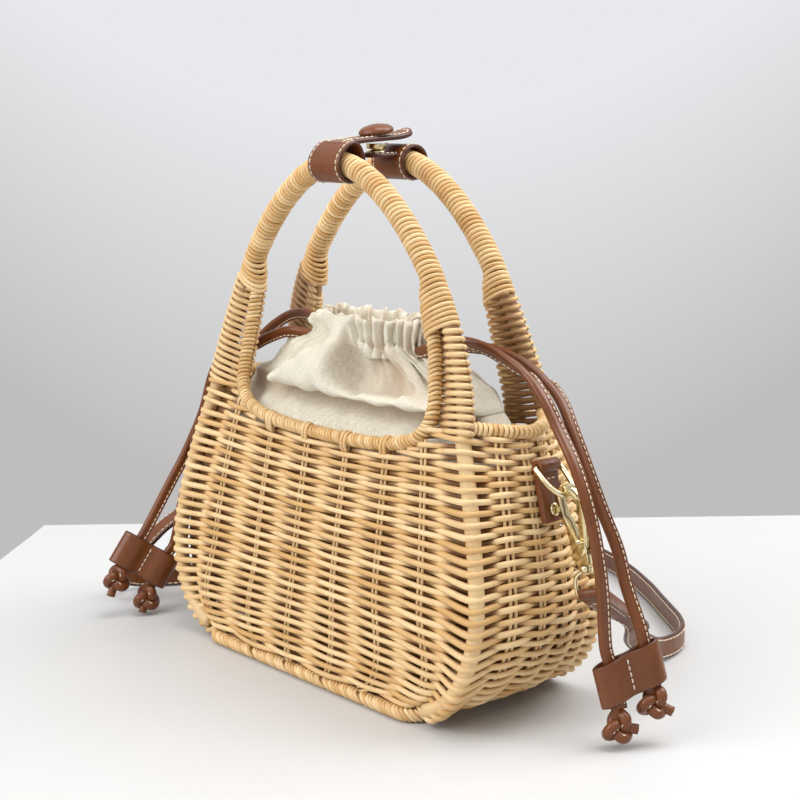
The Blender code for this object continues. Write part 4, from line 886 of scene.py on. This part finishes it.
# %% Shapes of the drawstrings and their knots
SLIDERS = {"right": ((166, 10, 34), (0.486, 0.780, 0.394), (0.240, 0.100, -0.966)),
           "left": ((-147, -47.5, 31.5), (0.420, 0.720, -0.550), (-0.133, -0.550, -0.824))}
half = np.array([(4.1, 0.35), (3.9, 0.62), (2.9, 0.66), (2.0, 0.9), (1.45, 1.45), (0.6, 1.95), (-0.5, 1.95),
                 (-1.5, 1.35), (-2.0, 0.45)])
PIPED = np.concatenate([half, half[::-1] * (1, -1)])
SEAM = 3.05


def slider_axes(side):
    """A slider's place, and its axes as rows: across both cords, out of the band, up the cords; all askew."""
    place, x, down = (np.array(v, float) for v in SLIDERS[side])
    x, z = unit(x), unit(-down)
    return place, np.stack([x, unit(np.cross(z, x)), z])


def piped(path, flange):
    """The folded strip along a path, its flange turned that way, with stitches on both the flange's faces."""
    along = unit(np.gradient(path, axis=0))
    out = unit(np.cross(along, flange))
    seam = path + np.cross(out, along) * SEAM
    body = carried(path[None], out[None], PIPED, rim=PIPED[:, 0] > 4.0)
    return joined(body, *[stitches(seam + face * 0.6, face, pitch=3.0, length=2.0, radius=0.3)
                          for face in (out, -out)])


def tied(middle, axes, roll, root, tail):
    """An overhand knot, tight: x = sin t + 2 sin 2t, z = cos t - 2 cos 2t, y = -sin 3t, in stout cord."""
    t = np.arange(96)[:, None] * 2 * np.pi / 96 + roll
    c, s = math.cos(roll), math.sin(roll)
    a, b = 1.9 * (np.sin(t) + 2 * np.sin(2 * t)), 1.9 * (np.cos(t) - 2 * np.cos(2 * t))
    path = middle + (a * c - b * s) * axes[0] - 2.7 * np.sin(3 * t) * axes[1] + (a * s + b * c) * axes[2]
    side = unit(np.cross(unit(np.gradient(path, axis=0)), axes[1]))
    edge = unit(0.62 * side - 0.78 * axes[1])
    shapes = [carried(path[None], axes[1], disc(14) * (2.75, 2.65), closed=True),
              stitches(path + edge * 2.5, edge, pitch=3.2, length=2.2, radius=0.34)]
    for points in ([(root, 0, 12.0), (0.3 * root, 0, 7.0), (0, 0, 1.0)], [(0.0, 0, -1.0), *tail]):
        stub = through(middle + np.array(points) @ axes, 1.0)
        shapes.append(carried(stub[None], axes[1], disc(12) * (2.4, 2.1)))
    return joined(*shapes)


print("sliders at", {hand: slider_axes(hand)[0].tolist() for hand in SLIDERS})

# %% [markdown]
# Each cord goes on from its route straight through its slider. A knot has its place across the slider and
# below it, the angle that it is rolled by, and two points that its cut end goes through.

# %% Drawstrings
ROUTES = {
    "right_front": [(40.5, -5, 170.5), (48, -5, 173), (57, -4, 177), (68, -1, 178.5), (80, 0, 177.5),
                    (93, 0, 174), (108, 0, 167.5), (119, 0, 157), (127.5, 0.5, 144.5), (140, -1.5, 129),
                    (148.5, -1.7, 111), (153, 0, 90), (155.5, 1, 71)],
    "right_back": [(40.5, 5, 170.5), (48, 5.5, 172), (60, 8, 174.5), (78, 10, 174.5), (96, 11, 170.5),
                   (110, 11, 163.5), (121, 10.5, 154), (129.5, 8.8, 142), (138, 8.8, 126), (146, 10.3, 108),
                   (153.5, 13.5, 89), (158, 14.5, 73)],
    "left_front": [(-40.5, -5, 170.5), (-48, -5.5, 171), (-60, -7.5, 171), (-75, -9, 166),
                   (-90, -9.5, 159.5), (-104, -9.5, 155.5), (-116, -10, 151), (-124, -12.5, 139),
                   (-128.5, -15.5, 121), (-133, -19, 103), (-135.5, -21, 86), (-138, -25.8, 68)],
    "left_back": [(-40.5, 5, 170.5), (-48, 5.5, 173.5), (-60, 8, 178.5), (-76, 9.5, 177), (-92, 9.5, 170),
                  (-106, 9, 160.5), (-118, 4, 148), (-126, -4, 136), (-132, -11.4, 122), (-137, -15.5, 107),
                  (-141.5, -22.2, 90), (-145, -31.5, 73)]}
OFFSETS = {"right_front": -9.0, "right_back": 9.0, "left_back": -9.0, "left_front": 9.0}
KNOTS = {"right_front": (-11.3, -20.6, 0.6, ((5.0, -1, -2.5), (8.6, -1.5, -4.5))),
         "right_back": (7.6, -17.4, 0.5, ((4.5, -1, -4.5), (7.5, -1.5, -7.5))),
         "left_back": (-8.2, -17.0, 1.4, ((0.6, -1, -6), (1.6, -1.5, -10.5))),
         "left_front": (12.4, -18.6, 1.5, ((0.8, -1, -5), (1.8, -1.5, -8.4)))}
for name, points in ROUTES.items():
    place, axes = slider_axes(name.split("_")[0])
    tail = np.array([(OFFSETS[name], 0, z) for z in (18, 9, 0, -9, -13)]) @ axes + place
    path = through(np.concatenate([points, tail]), 2.2)
    # The flange points down on the neck and to the camera's right where the cord hangs
    hang = eased((-unit(np.gradient(path, axis=0))[:, 2:] - 0.3) / 0.45)
    shape = piped(path, (1 - hang) * (0, 0, -1.0) + hang * (0.66, 0.75, 0))
    cord_piece = sewn(name + "_piped_cord", shape, "basket", name + "_drawstring")
    aside, drop, roll, ends = KNOTS[name]
    shape = tied((aside, 0, drop) @ axes + place, axes, roll, OFFSETS[name] - aside, ends)
    knot = sewn(name + "_end_knot", shape, "basket", name + "_knot")

# %% [markdown]
# ## Sliders
# A band of leather is wrapped round two cords and sewn through between them, which gives it two lobes and a
# waist. The band is one belt: its outline, seen along the cords, is the path, and the leather's section is
# carried round it.

# %% Sliders
SLIDER_HALF = {"right": 16.0, "left": 17.2}


def band(wide, thick):
    """A strap's section with rounded edges, by half width and half thickness."""
    x = np.array([wide, wide - 0.3 * thick, wide - 0.9 * thick, wide - 2.2 * thick])
    y = thick * np.array([0.4, 0.82, 1, 1, 1, 1, 0.82, 0.4])
    upper = np.column_stack([np.concatenate([x, -x[::-1]]), y])
    return np.concatenate([upper, upper[::-1] * (1, -1)])


def painted(section):
    """Marks a strap's two cut edges."""
    return np.abs(section[:, 0]) > np.abs(section[:, 0]).max() - 0.5


turn = (np.arange(120) + 0.5) * 2 * np.pi / 120
reach = np.abs(np.cos(turn))
lobe = 4.6 + 4.8 * np.sin(np.pi * np.minimum(reach, 0.53) / 1.06) ** 2
shut = np.sqrt(1 - np.clip((reach - 0.62) / 0.38, 0, 1) ** 2)
deep = np.maximum(0.5 * np.maximum(lobe * shut, 1.2) - 0.8, 0.25)
section = band(9.8, 0.8)
for hand, wide in SLIDER_HALF.items():
    place, axes = slider_axes(hand)
    line = np.column_stack([wide * np.cos(turn), deep * np.sign(np.sin(turn)), np.zeros(120)])
    step = np.roll(line, -1, 0) - np.roll(line, 1, 0)
    out = np.column_stack([step[:, 1], -step[:, 0], np.zeros(120)])
    belt = carried(line[None], out[None], section, closed=True, rim=painted(section))
    belt["verts"] = belt["verts"] @ axes + place
    shapes = [belt]
    for face in (-1, 1):
        seam = np.column_stack([np.zeros(9), np.full(9, face * 2.2), np.linspace(-8.4, 8.4, 9)])
        shapes.append(stitches(seam @ axes + place, face * axes[1], pitch=3.0, length=2.1, rise=0.3))
    sewn(hand + "_slider_band", joined(*shapes), hand + "_slider", hand + "_cord_slider")

# %% [markdown]
# ## Side tabs, rings and hooks
# A leather tab is folded over each dee ring, stitched under the ring's bar and riveted to the end. The hook
# is a die casting with flat facets, its gate a sprung lever, and the loop a bent wire in a swivel collar.
# The castings are copies of the solids with their edges rounded by a Bevel modifier, as a mould leaves
# them; the wires are carried circles. Each fitting is drawn in its own frame, as in the solid model.

# %% Frames of the fittings
RING_DROP, LOOP_DROP = 18, 47.4
shift, turned_by = Matrix.Translation, (lambda degrees, axis: Matrix.Rotation(math.radians(degrees), 4, axis))
slope = math.degrees(math.atan2(float(end_x(119.0) - end_x(131.0)), 12))
side_frame = shift((float(end_x(125.0)), 0, 125)) @ turned_by(-slope, "Y") @ shift((3.55, 0, 0))
ring_frame = side_frame @ turned_by(-35, "Y")
hook_frame = ring_frame @ shift((0, 0, -RING_DROP)) @ turned_by(38.5, "Y") @ turned_by(8, "X")


def moved(matrix, points, hand=1):
    """Points in a fitting's frame put into the world; hand -1 mirrors them to the left end."""
    m = np.array(matrix)
    return (np.asarray(points, float) @ m[:3, :3].T + m[:3, 3]) * (hand, 1, 1)


def dee(half, drop, corner=1.2):
    """A dee in y and z: a straight bar with two small corners, and a bow half cos(t), drop sin(t)^0.6."""
    c, s = (lambda a: np.cos(np.radians(a))), (lambda a: np.sin(np.radians(a)))
    near, far, bow = np.array([60, 30, 0]), np.array([180, 150, 120]), np.arange(6, 180, 6)
    flat = half - corner
    y = np.concatenate([[0], flat + corner * c(near), half * c(bow), corner * c(far) - flat])
    side = -corner - (drop - corner) * s(bow) ** 0.6
    z = np.concatenate([[0], corner * (s(near) - 1), side, corner * (s(far) - 1)])
    return np.column_stack([np.zeros(len(y)), y, z])


def softened(node, finish, body, width):
    """A welded copy of a solid with its edges rounded, which stands for the solid."""
    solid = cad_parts[node]
    work = bmesh.new()
    work.from_mesh(solid.data)
    work.transform(solid.matrix_world)
    bmesh.ops.remove_doubles(work, verts=work.verts, dist=2e-6)
    mesh = bpy.data.meshes.new(node + "_rounded")
    work.to_mesh(mesh)
    work.free()
    mesh.shade_smooth()
    mesh.materials.clear()
    mesh.materials.append(finish)
    obj = linked(node + "_rounded", mesh)
    edge = obj.modifiers.new("rounded_edges", "BEVEL")
    edge.width, edge.segments, edge.harden_normals = width * MM, 2, True
    edge.limit_method, edge.angle_limit = "ANGLE", math.radians(32)
    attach(obj, body)
    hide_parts(node)
    print(obj.name, len(mesh.polygons), "faces")


print("hook hangs from", moved(hook_frame, (0, 0, 0)).round(1).tolist())

# %% [markdown]
# Both ends have the same fittings, and the left ones are the right ones mirrored.

# %% Rings, hooks, loops and tabs
COLLAR = [(-37.0, 1.2), (-36.8, 2.2), (-36.3, 2.9), (-35.4, 3.2), (-34.2, 3.2), (-33.6, 2.7), (-33.3, 1.9)]
LOOP_TURN = 70
rise, girth = np.array(COLLAR).T
c, s = math.cos(math.radians(-LOOP_TURN)), math.sin(math.radians(-LOOP_TURN))
for hand, way in HANDS.items():
    wire = moved(ring_frame, dee(8.05, RING_DROP), way)
    shape = carried(wire[None], (wire - wire.mean(0))[None], disc(12) * 1.25, closed=True)
    plated(hand + "_dee_wire", shape, hand + "_ring", hand + "_dee_ring")
    bow = dee(7.2, 11) @ np.array([(c, s, 0), (-s, c, 0), (0, 0, -1)]) + (0, 0, -LOOP_DROP)
    bow = moved(hook_frame, bow, way)
    collar = moved(hook_frame, np.column_stack([np.zeros(7), np.zeros(7), rise]), way)
    shapes = [carried(bow[None], (bow - bow.mean(0))[None], disc(12), closed=True),
              carried(collar[None], (0, 1, 0), disc(24), girth[None, :, None])]
    plated(hand + "_loop_wire", joined(*shapes), hand + "_loop", hand + "_strap_loop")
    for part, body, width in (("_snap_hook", hand + "_hook", 0.55), ("_gate_pin", hand + "_hook", 0.2),
                              ("_hook_gate", hand + "_gate", 0.35), ("_tab_rivet", "basket", 0.4)):
        softened(hand + part, gold, body, width)
    for part, body in (("_side_tab", "basket"), ("_strap_end", hand + "_loop")):
        softened(hand + part, leather, body, 0.45)

# %% [markdown]
# ## Handle sleeves and the snap tab
# A leather sleeve is sewn round the middle of each handle. The front one carries a tab that reaches over to
# the back one's tongue and snaps on it under a leather-covered cap. A sleeve is a belt round the handle;
# the front one bulges where the tab's root is sewn in.

# %% Sleeves
SLEEVE_RADIUS, HANDLE_Y, HANDLE_TOP = 8.2, 21.0, 261.0
section = band(12.0, 0.85)
turn = np.linspace(0, 2 * np.pi, 73)
radial = np.column_stack([np.zeros(73), np.cos(turn), np.sin(turn)])
for name, side in SIDES.items():
    bulge = 2.7 * np.exp(-((turn - 1.3) / 0.6) ** 2) * (side < 0)
    line = np.array((0, side * HANDLE_Y, HANDLE_TOP)) + radial * (SLEEVE_RADIUS + bulge)[:, None]
    belt = carried(line[None, :-1], radial[None, :-1], section, closed=True, rim=painted(section))
    seams = [stitches(line + radial * 0.82 + (x, 0, 0), radial, pitch=3.1, length=2.2)
             for x in (-9.9, 9.9)]
    sewn(name + "_sleeve_leather", joined(belt, *seams), "basket", name + "_handle_sleeve")

# %% [markdown]
# Tabs are straps whose width closes in a half circle, with stitches that follow the edge. The cap is a low
# dome.

# %% Tab, tongue, cap and snap
TAB_HALF, SEAM_INSET = 7.5, 1.9


def tongue(line, thick, round_start, round_end):
    """A strap along a line whose width closes as a half circle at its round ends, with stitches inside it."""
    line = evened(line, 0.8)
    walked = np.arange(len(line)) / (len(line) - 1) * length_of(line)
    near = np.full(len(line), TAB_HALF)
    near = np.minimum(near, walked + 0.02) if round_start else near
    near = np.minimum(near, walked[::-1] + 0.02) if round_end else near
    share = np.sqrt(np.clip(1 - (1 - near / TAB_HALF) ** 2, 0.0004, 1))
    section = band(TAB_HALF, thick)
    size = np.stack([share, np.ones(len(line))], -1)[None]
    up = np.cross((1.0, 0, 0), np.gradient(line, axis=0))
    up = unit(up * np.sign(up[:, 2:]))
    shape = carried(line[None], up[None], section, size, rim=painted(section))
    inner = TAB_HALF - SEAM_INSET
    seam_share = np.sqrt(np.clip(1 - (1 - np.clip(near - SEAM_INSET, 0, inner) / inner) ** 2, 0, 1))
    keep = near > SEAM_INSET
    edge = np.column_stack([inner * seam_share, np.zeros(len(line)), np.zeros(len(line))])
    top = line + up * thick * 0.95
    seam = np.concatenate([(top - edge)[keep], (top + edge)[keep][::-1]])
    seam_up = np.concatenate([up[keep], up[keep][::-1]])
    return joined(shape, stitches(seam, seam_up, pitch=3.1, length=2.2))


stub = np.array([(0, -22.5, 270.6), (0, -19, 271.5), (0, -15.3, 271.9)])
sewn("tab_root_leather", tongue(through(stub, 0.8), 1.2, False, False), "basket")
reach = np.array([(0, -15, 271.9), (0, -6, 272.6), (0, 6, 273.2), (0, 16, 273.7), (0, 22, 274.8),
                  (0, 27, 276.8)])
sewn("snap_tab_leather", tongue(through(reach, 0.8), 1.3, False, True), "closure", "closure_tab")
under = np.array([(0, -2.5, 264.7), (0, 6, 264.7), (0, 14.5, 264.7)])
sewn("stud_tongue_leather", tongue(under, 1.05, True, False), "basket")
CAP_PLACE, CAP_AXIS = np.array((0, 5.4, 275.0)), unit((-0.02, -0.15, 1.0))
rise = np.array([0, 0.4, 1.3, 2.4, 3.5, 4.4, 5.0, 5.3, 5.4])
girth = np.array([6.8, 8.3, 9.0, 8.8, 7.8, 6.1, 3.6, 1.5, 0.2])
dome = CAP_PLACE + rise[:, None] * CAP_AXIS
shape = carried(dome[None], (1, 0, 0), disc(40), girth[None, :, None], cut=(rise < 0.5)[None])
piece("snap_cap_leather", shape, [leather], "closure", ("snap_cap",))
for node, body in (("snap_socket", "closure"), ("snap_stud", "basket")):
    softened(node, gold, body, 0.3)

# %% [markdown]
# ## Lining
# A cotton bag hangs in the basket. A cord in its casing draws the neck shut, so the cloth above puckers
# into a frill, and the cloth below has no room and falls over the sill in folds. A cloth simulation would
# find folds, but not the ones in the picture. So the bag is a lofted grid: profiles for each side of the
# bag are mixed by the angle, with waves for pleats. Each profile lists heights or half widths from the
# sill's level up to the neck and over the frill.

# %% Profiles of the lining
SKIRT = [122, 127, 131, 134.5, 137, 140, 143, 146]
UP = np.array([*SKIRT, 145.2, 148.5, 153, 158.5, 164, 168, 171, 174.5, 179, 183, 185.2, 183.5, 178, 172, 165])
LIP_UP = np.array([*SKIRT, 145.2, 147.4, 149.2, 148.6, 155, 164, 170, 174.2])
CUP_UP = np.array([*SKIRT, 147.5, 150, 153, 157, 161.5, 167, 171.5, 175])
RIGHT_END = np.array([110, 106, 102, 98, 95, 92, 89, 87, 88, 87, 83, 74, 61, 49, 40])
LEFT_END = np.array([110, 106, 103, 100, 98, 96, 94.5, 93, 91, 86, 77, 71, 67, 59, 43])
PILLOW = [28, 27, 24.5, 20.5, 16, 12.5, 12, 16, 24, 28.4, 29.5, 28.6, 26.5, 24, 21.5, 19.5, 17.8, 15.8, 14]
LIP = [28, 27, 24.5, 20.5, 16, 13, 13, 18, 25, 27.4, 24, 14, 8, 8.5, 12.5]
CUP = [27, 25, 22, 19, 16.5, 15, 14.5, 15, 16, 16, 15.5, 15, 15, 15, 14]
BACK = [28, 26.5, 24.5, 22.5, 21.5, 21, 21, 21.5, 22.5, 23, 23, 21.5, 19, 16.5, 14]
NECK_A = np.array([39.5, 40.5, 42.5, 41.5, 37.5, 36, 34, 28])
NECK_B = np.array([14, 15, 16.5, 15.5, 13, 11.5, 10.5, 8])
LEVELS, BODY_LEVELS = len(UP), len(LIP_UP)
# Where each profile holds, as angles from the right end, and how far these turn from the sill to the neck
KEYS = np.radians([0, 60, 120, 180, 231, 239, 268.5, 270.5, 325, 360])
LEANS = np.radians([0, 0, 0, 0, 17, 17, 0, 0, 0, 0]) * np.interp(np.arange(LEVELS), (9, 14), (0, 1))[:, None]
SHAPES = [(BACK, UP)] * 3 + [(CUP, CUP_UP)] * 2 + [(PILLOW, UP)] * 2 + [(LIP, LIP_UP)] * 2 + [(BACK, UP)]
FOLDS = [np.concatenate([side, NECK_B[len(side) - LEVELS:]]) for side, _ in SHAPES]
HEIGHTS = [up[:BODY_LEVELS] for _, up in SHAPES]
print("lining profiles", len(FOLDS), "of", LEVELS, "levels")

# %% [markdown]
# The plan of the bag goes from a squarish oval in the basket to a round neck. Pleats are a wave round the
# neck, uneven in width and depth, that fades out below.

# %% Loft of the lining
COLUMNS = 368
turn = np.arange(COLUMNS) * 2 * np.pi / COLUMNS
c, s = np.cos(turn), np.sin(turn)
below = np.array([5.7, 7.5, 13, 24, 40, 60, 80, 100, 114.0])
CLEAR = 9


def by_angle(rows):
    """Profiles mixed by the angle, level by level, and blurred over three columns."""
    levels = zip(np.array(rows).T, LEANS)
    mixed = np.stack([np.interp(turn, KEYS + lean, values) for values, lean in levels])
    return sum(np.roll(mixed, k, 1) for k in range(-1, 2)) / 3


even = lambda values: np.repeat(values[:, None], COLUMNS, 1)
toward_right = eased((1 + c) / 2)
ends = LEFT_END[:, None] + (RIGHT_END - LEFT_END)[:, None] * toward_right
a = np.concatenate([even(end_x(np.maximum(below - CLEAR, FOOT)) - CLEAR), ends, even(NECK_A)])
b = np.concatenate([even(panel_y(0.0, below) - CLEAR), by_angle(FOLDS)])
z = np.concatenate([even(below), by_angle(HEIGHTS), even(UP[BODY_LEVELS:])])
by_level = lambda marks, values: np.interp(np.arange(len(a)), marks, values)[:, None]
square = 2 / (3.4 - 1.2 * np.clip((z - 128) / 42, 0, 1))
x = np.sign(c) * np.abs(c) ** square * a
y = np.sign(s) * np.abs(s) ** square * b
pucker = by_level((20, 22, 23, 31), (0, 0.6, 1, 1))
phase = 36 * turn + 1.4 * np.sin(5 * turn + 0.7) + 1.0 * np.sin(9 * turn)
wave = np.cos(phase) * (1 + 0.4 * np.sin(7 * turn + 2))
slack = by_level((18, 20.5, 22, 24), (0, 1, 1, 0)) * np.cos(19 * turn + 1.5 * np.sin(3 * turn))
out = unit(np.stack(np.broadcast_arrays(c * b, s * a), -1))
tight = np.interp(turn, KEYS, (1, 1, 1, 0.7, 0.5, 0.15, 0.3, 1.2, 1.2, 1))
push = tight * (1.5 * pucker * wave + 0.9 * slack)
ruffle = 0.9 * np.cos(18 * turn + 2 * np.sin(4 * turn)) - 4.5 * np.exp(-((turn - 3.5) / 0.5) ** 2)
top = by_level((24, 26, 27, 29), (0, 1, 1, 0)) * ruffle
loft = np.stack([x + out[..., 0] * push, y + out[..., 1] * push, z + top], -1)
loft = splined(loft.reshape(len(a), -1), 5).reshape(-1, COLUMNS, 3)
print("loft", loft.shape)

# %% [markdown]
# The large folds of the front are soft ridges along lines, pushed out square to the cloth. Faint creases
# cross all of it. Pleats, the hollow at the right, the cloth under the front's overhang and the cloth behind
# the weave are marked with painted shade, which the finish turns into a warm brown.

# %% Folds and marks of the lining
square_out = np.cross(np.roll(loft, -1, 1) - np.roll(loft, 1, 1), np.gradient(loft, axis=0))
at_x, at_y, at_z = np.moveaxis(loft, -1, 0)


def ridge(x0, z0, x1, z1, wide):
    """A bell of this width, across the line from (x0, z0) to (x1, z1) as seen from the front."""
    off = ((at_x - x0) * (z1 - z0) - (at_z - z0) * (x1 - x0)) / np.hypot(x1 - x0, z1 - z0)
    return np.exp(-(off / wide) ** 2)


creases = np.sin(at_x * 0.23 + at_z * 0.31) + np.sin(at_x * 0.34 - at_z * 0.21 + 1.7)
rise = 0.45 * creases * eased((at_z - 120) / 15)
folds = 1.0 * ridge(-30, 176, -44, 150, 4) + 2.2 * ridge(-6, 174, -5, 150, 5)
folds = folds - 2.6 * ridge(8, 174, 14, 154, 4) + 2.6 * ridge(28, 172, 48, 150, 3)
rise = rise + (at_y < -6) * eased((at_z - 146) / 4) * eased((174 - at_z) / 4) * folds
loft = loft + unit(square_out) * rise[..., None]
level_of = np.linspace(0, len(a) - 1, len(loft))
between = lambda *marks: np.interp(level_of, marks, (0, 1, 1, 0))[:, None]
shade = 0.4 * tight * between(20, 23, 29, 31) * np.clip(-wave, 0, 1.4)
shade = shade + 0.4 * between(18.5, 20, 23, 24.5) * np.exp(-((turn - 5.1) / 0.3) ** 2)
shade = shade + 0.3 * between(12.5, 14, 16, 17) * np.clip(-2 * s, 0, 1) + eased((124 - loft[..., 2]) / 10)
print("deepest fold", round(float(rise.min()), 1), "mm")

# %% [markdown]
# The grid is closed round the bag and capped at its lower end, and a Solidify modifier gives the cloth its
# thickness.

# %% Lining
CLOTH, CUT_WIDTH, COLUMN_WIDTH = 0.0006, 0.64, 1.75
index = np.arange(loft.size // 3).reshape(loft.shape[:2])
here, there = index[:-1], index[1:]
quads = np.stack([here, np.roll(here, -1, 1), np.roll(there, -1, 1), there], -1).reshape(-1, 4)
j = np.arange(COLUMNS // 2 - 1)
cap = np.column_stack([COLUMNS - 1 - j, COLUMNS - 2 - j, j + 1, j])
rows_up = np.concatenate([[0], np.cumsum(np.linalg.norm(np.diff(loft, axis=0), axis=2).mean(1))])
u, v = np.meshgrid(np.arange(COLUMNS + 1) * COLUMN_WIDTH, rows_up)
corner = lambda m: np.stack([m[:-1, :-1], m[:-1, 1:], m[1:, 1:], m[1:, :-1]], -1).reshape(-1, 4)
points = loft.reshape(-1, 3)
uv = np.concatenate([np.stack([corner(u), corner(v)], -1), points[cap][..., :2]])
shape = {"verts": points, "quads": np.concatenate([quads, cap]), "uv": uv,
         "kind": np.zeros(len(uv), np.int32), "marks": {"sunk": np.clip(shade, 0, 1).reshape(-1)}}
lining = piece("cotton_lining", shape, [cotton], "basket", ("lining_bag",))
thick = lining.modifiers.new("cloth_thickness", "SOLIDIFY")
thick.thickness, thick.offset = CLOTH, -1.0

# %% [markdown]
# ## Shoulder strap
# A strap of two thin layers, sewn along both edges, is folded round the loop of each hook and lies in bends
# on the table behind the bag. Its route repeats the solid model's points. It lies flat against each hook
# and stands on its edge on the table, so its width turns over a short length near each end.

# %% Route of the strap
STRAP_ROUTE = [(120.5, 62, 28), (114.5, 80, 17.5), (109.5, 100, 8.6), (108, 117, 6.4), (103, 131, 6.4),
               (92, 143, 6.4), (77, 154, 6.4), (60, 166, 6.4), (43, 178, 6.4), (13, 196, 6.4),
               (-17, 209, 6.4), (-60, 221, 6.4), (-98, 217, 6.4), (-113, 205, 6.4), (-100, 192, 6.4),
               (-65, 189, 6.4), (-37, 185, 6.4), (-26, 173, 6.4), (-37, 161, 6.4), (-65, 160, 6.4),
               (-100, 161, 6.4), (-116, 149, 6.4), (-103, 136, 6.4), (-60, 135, 6.4), (-20, 133, 6.4),
               (-7, 121, 6.4), (-20, 108, 6.4), (-60, 105, 6.4), (-105, 106, 6.4), (-137, 96, 6.4),
               (-153, 74, 6.4), (-159, 48, 6.4), (-164, 22, 6.4), (-173, 1, 6.4), (-184, -16, 6.4),
               (-188, -30, 8.5), (-183, -41, 14.5), (-173, -43.5, 23)]
STRAP_AIMS = {"right": (127, 42, 39.5), "left": (160, -34, 35)}
STRAP, STRAP_FACE, STRAP_SEAMS = band(6.0, 1.3), 1.28, (-4.5, 4.5)
TWIST = 100
# The photographed strap bows out this far beside its route where it leaves the right folded end
BOW = np.array((7.0, -1.4, 1.5))
loop_turn = math.radians(LOOP_TURN)
turned = np.array(hook_frame)[:3, :3] @ (math.sin(loop_turn), math.cos(loop_turn), 0)
ends = {}
for hand, way in HANDS.items():
    start = moved(hook_frame, (0, 0, -LOOP_DROP))
    climb = start - STRAP_AIMS[hand]
    climb = unit(climb - turned * (climb @ turned))
    ends[hand] = [v * (way, 1, 1) for v in (start, np.cross(turned, climb), turned, climb)]
first, last = (ends[hand][0] - np.array([31, 45])[:, None] * ends[hand][3] for hand in HANDS)
path = through(np.concatenate([first, STRAP_ROUTE, last[::-1]]), 2.0)
total = length_of(path)
walked = np.linspace(0, total, len(path))[:, None]
path += eased(walked / 30) * (1 - eased((walked - 38) / 75)) * BOW
flat_end, flat_start = eased((walked - total + TWIST) / TWIST), 1 - eased(walked / TWIST)
upward = {hand: ends[hand][2] * np.sign(ends[hand][2][2]) for hand in HANDS}
on_edge = np.array((0, 0, 1.0)) * (1 - flat_end - flat_start)
width = unit(on_edge + upward["right"] * flat_start + upward["left"] * flat_end)
print("strap", round(total), "mm between its folded ends")

# %% [markdown]
# Close to each hook the strap is cut into three short lengths. The rest is one long piece.

# %% Shoulder strap
def strap_length(few):
    """A stretch of the strap: its section, with the width turned to suit, and two seams on each face."""
    along = unit(np.gradient(path, axis=0))[few]
    out = unit(np.cross(along, width[few]))
    side = np.cross(out, along)
    shapes = [carried(path[few][None], out[None], STRAP, rim=painted(STRAP))]
    for face in (-STRAP_FACE, STRAP_FACE):
        up = out * np.sign(face)
        shapes += [stitches(path[few] + side * edge + out * face, up, pitch=3.4, length=2.4)
                   for edge in STRAP_SEAMS]
    return joined(*shapes)


HOP = 12
for hand, step in HANDS.items():
    for k in range(3):
        start = HOP * k if step > 0 else len(path) - 1 - HOP * (k + 1)
        here, there = (path[start:start + HOP + 1][::step][i] * MM for i in (0, -1))
        shape = strap_length(slice(max(start - 1, 0), start + HOP + 2))
        bend = sewn(f"{hand}_strap_bend_{k}", shape, None)
        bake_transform(bend)
start, stop = 3 * HOP, len(path) - 3 * HOP
strap = sewn("shoulder_strap_leather", strap_length(slice(start - 1, stop + 1)), "basket", "shoulder_strap")

# %% [markdown]
# The folded ends and the side tabs are copies of solids, so only their seams are made here. With them the
# strap is whole.

# %% Seams of the strap's ends and of the side tabs
END_FACE = 2.58
for hand, way in HANDS.items():
    place, *axes = ends[hand]
    shapes = []
    for face in (-END_FACE, END_FACE):
        out = axes[0] * np.sign(face)
        for edge in STRAP_SEAMS:
            line = [(face, edge, z) for z in np.linspace(-8, -29.5, 12)]
            shapes.append(stitches(place + np.array(line) @ np.stack(axes), out, pitch=3.4, length=2.4))
        line = [(face, y, -7.2) for y in np.linspace(-5, 5, 6)]
        shapes.append(stitches(place + np.array(line) @ np.stack(axes), out, pitch=3.2, length=2.3))
    sewn(hand + "_strap_end_seams", joined(*shapes), hand + "_loop")
    line = moved(side_frame, [(-0.37, y, -6.0) for y in np.linspace(-6, 6, 7)], way)
    out = moved(side_frame, (1, 0, 0), way) - moved(side_frame, (0, 0, 0), way)
    sewn(hand + "_side_tab_seam", stitches(line, out, pitch=3.0, length=2.2), "basket")
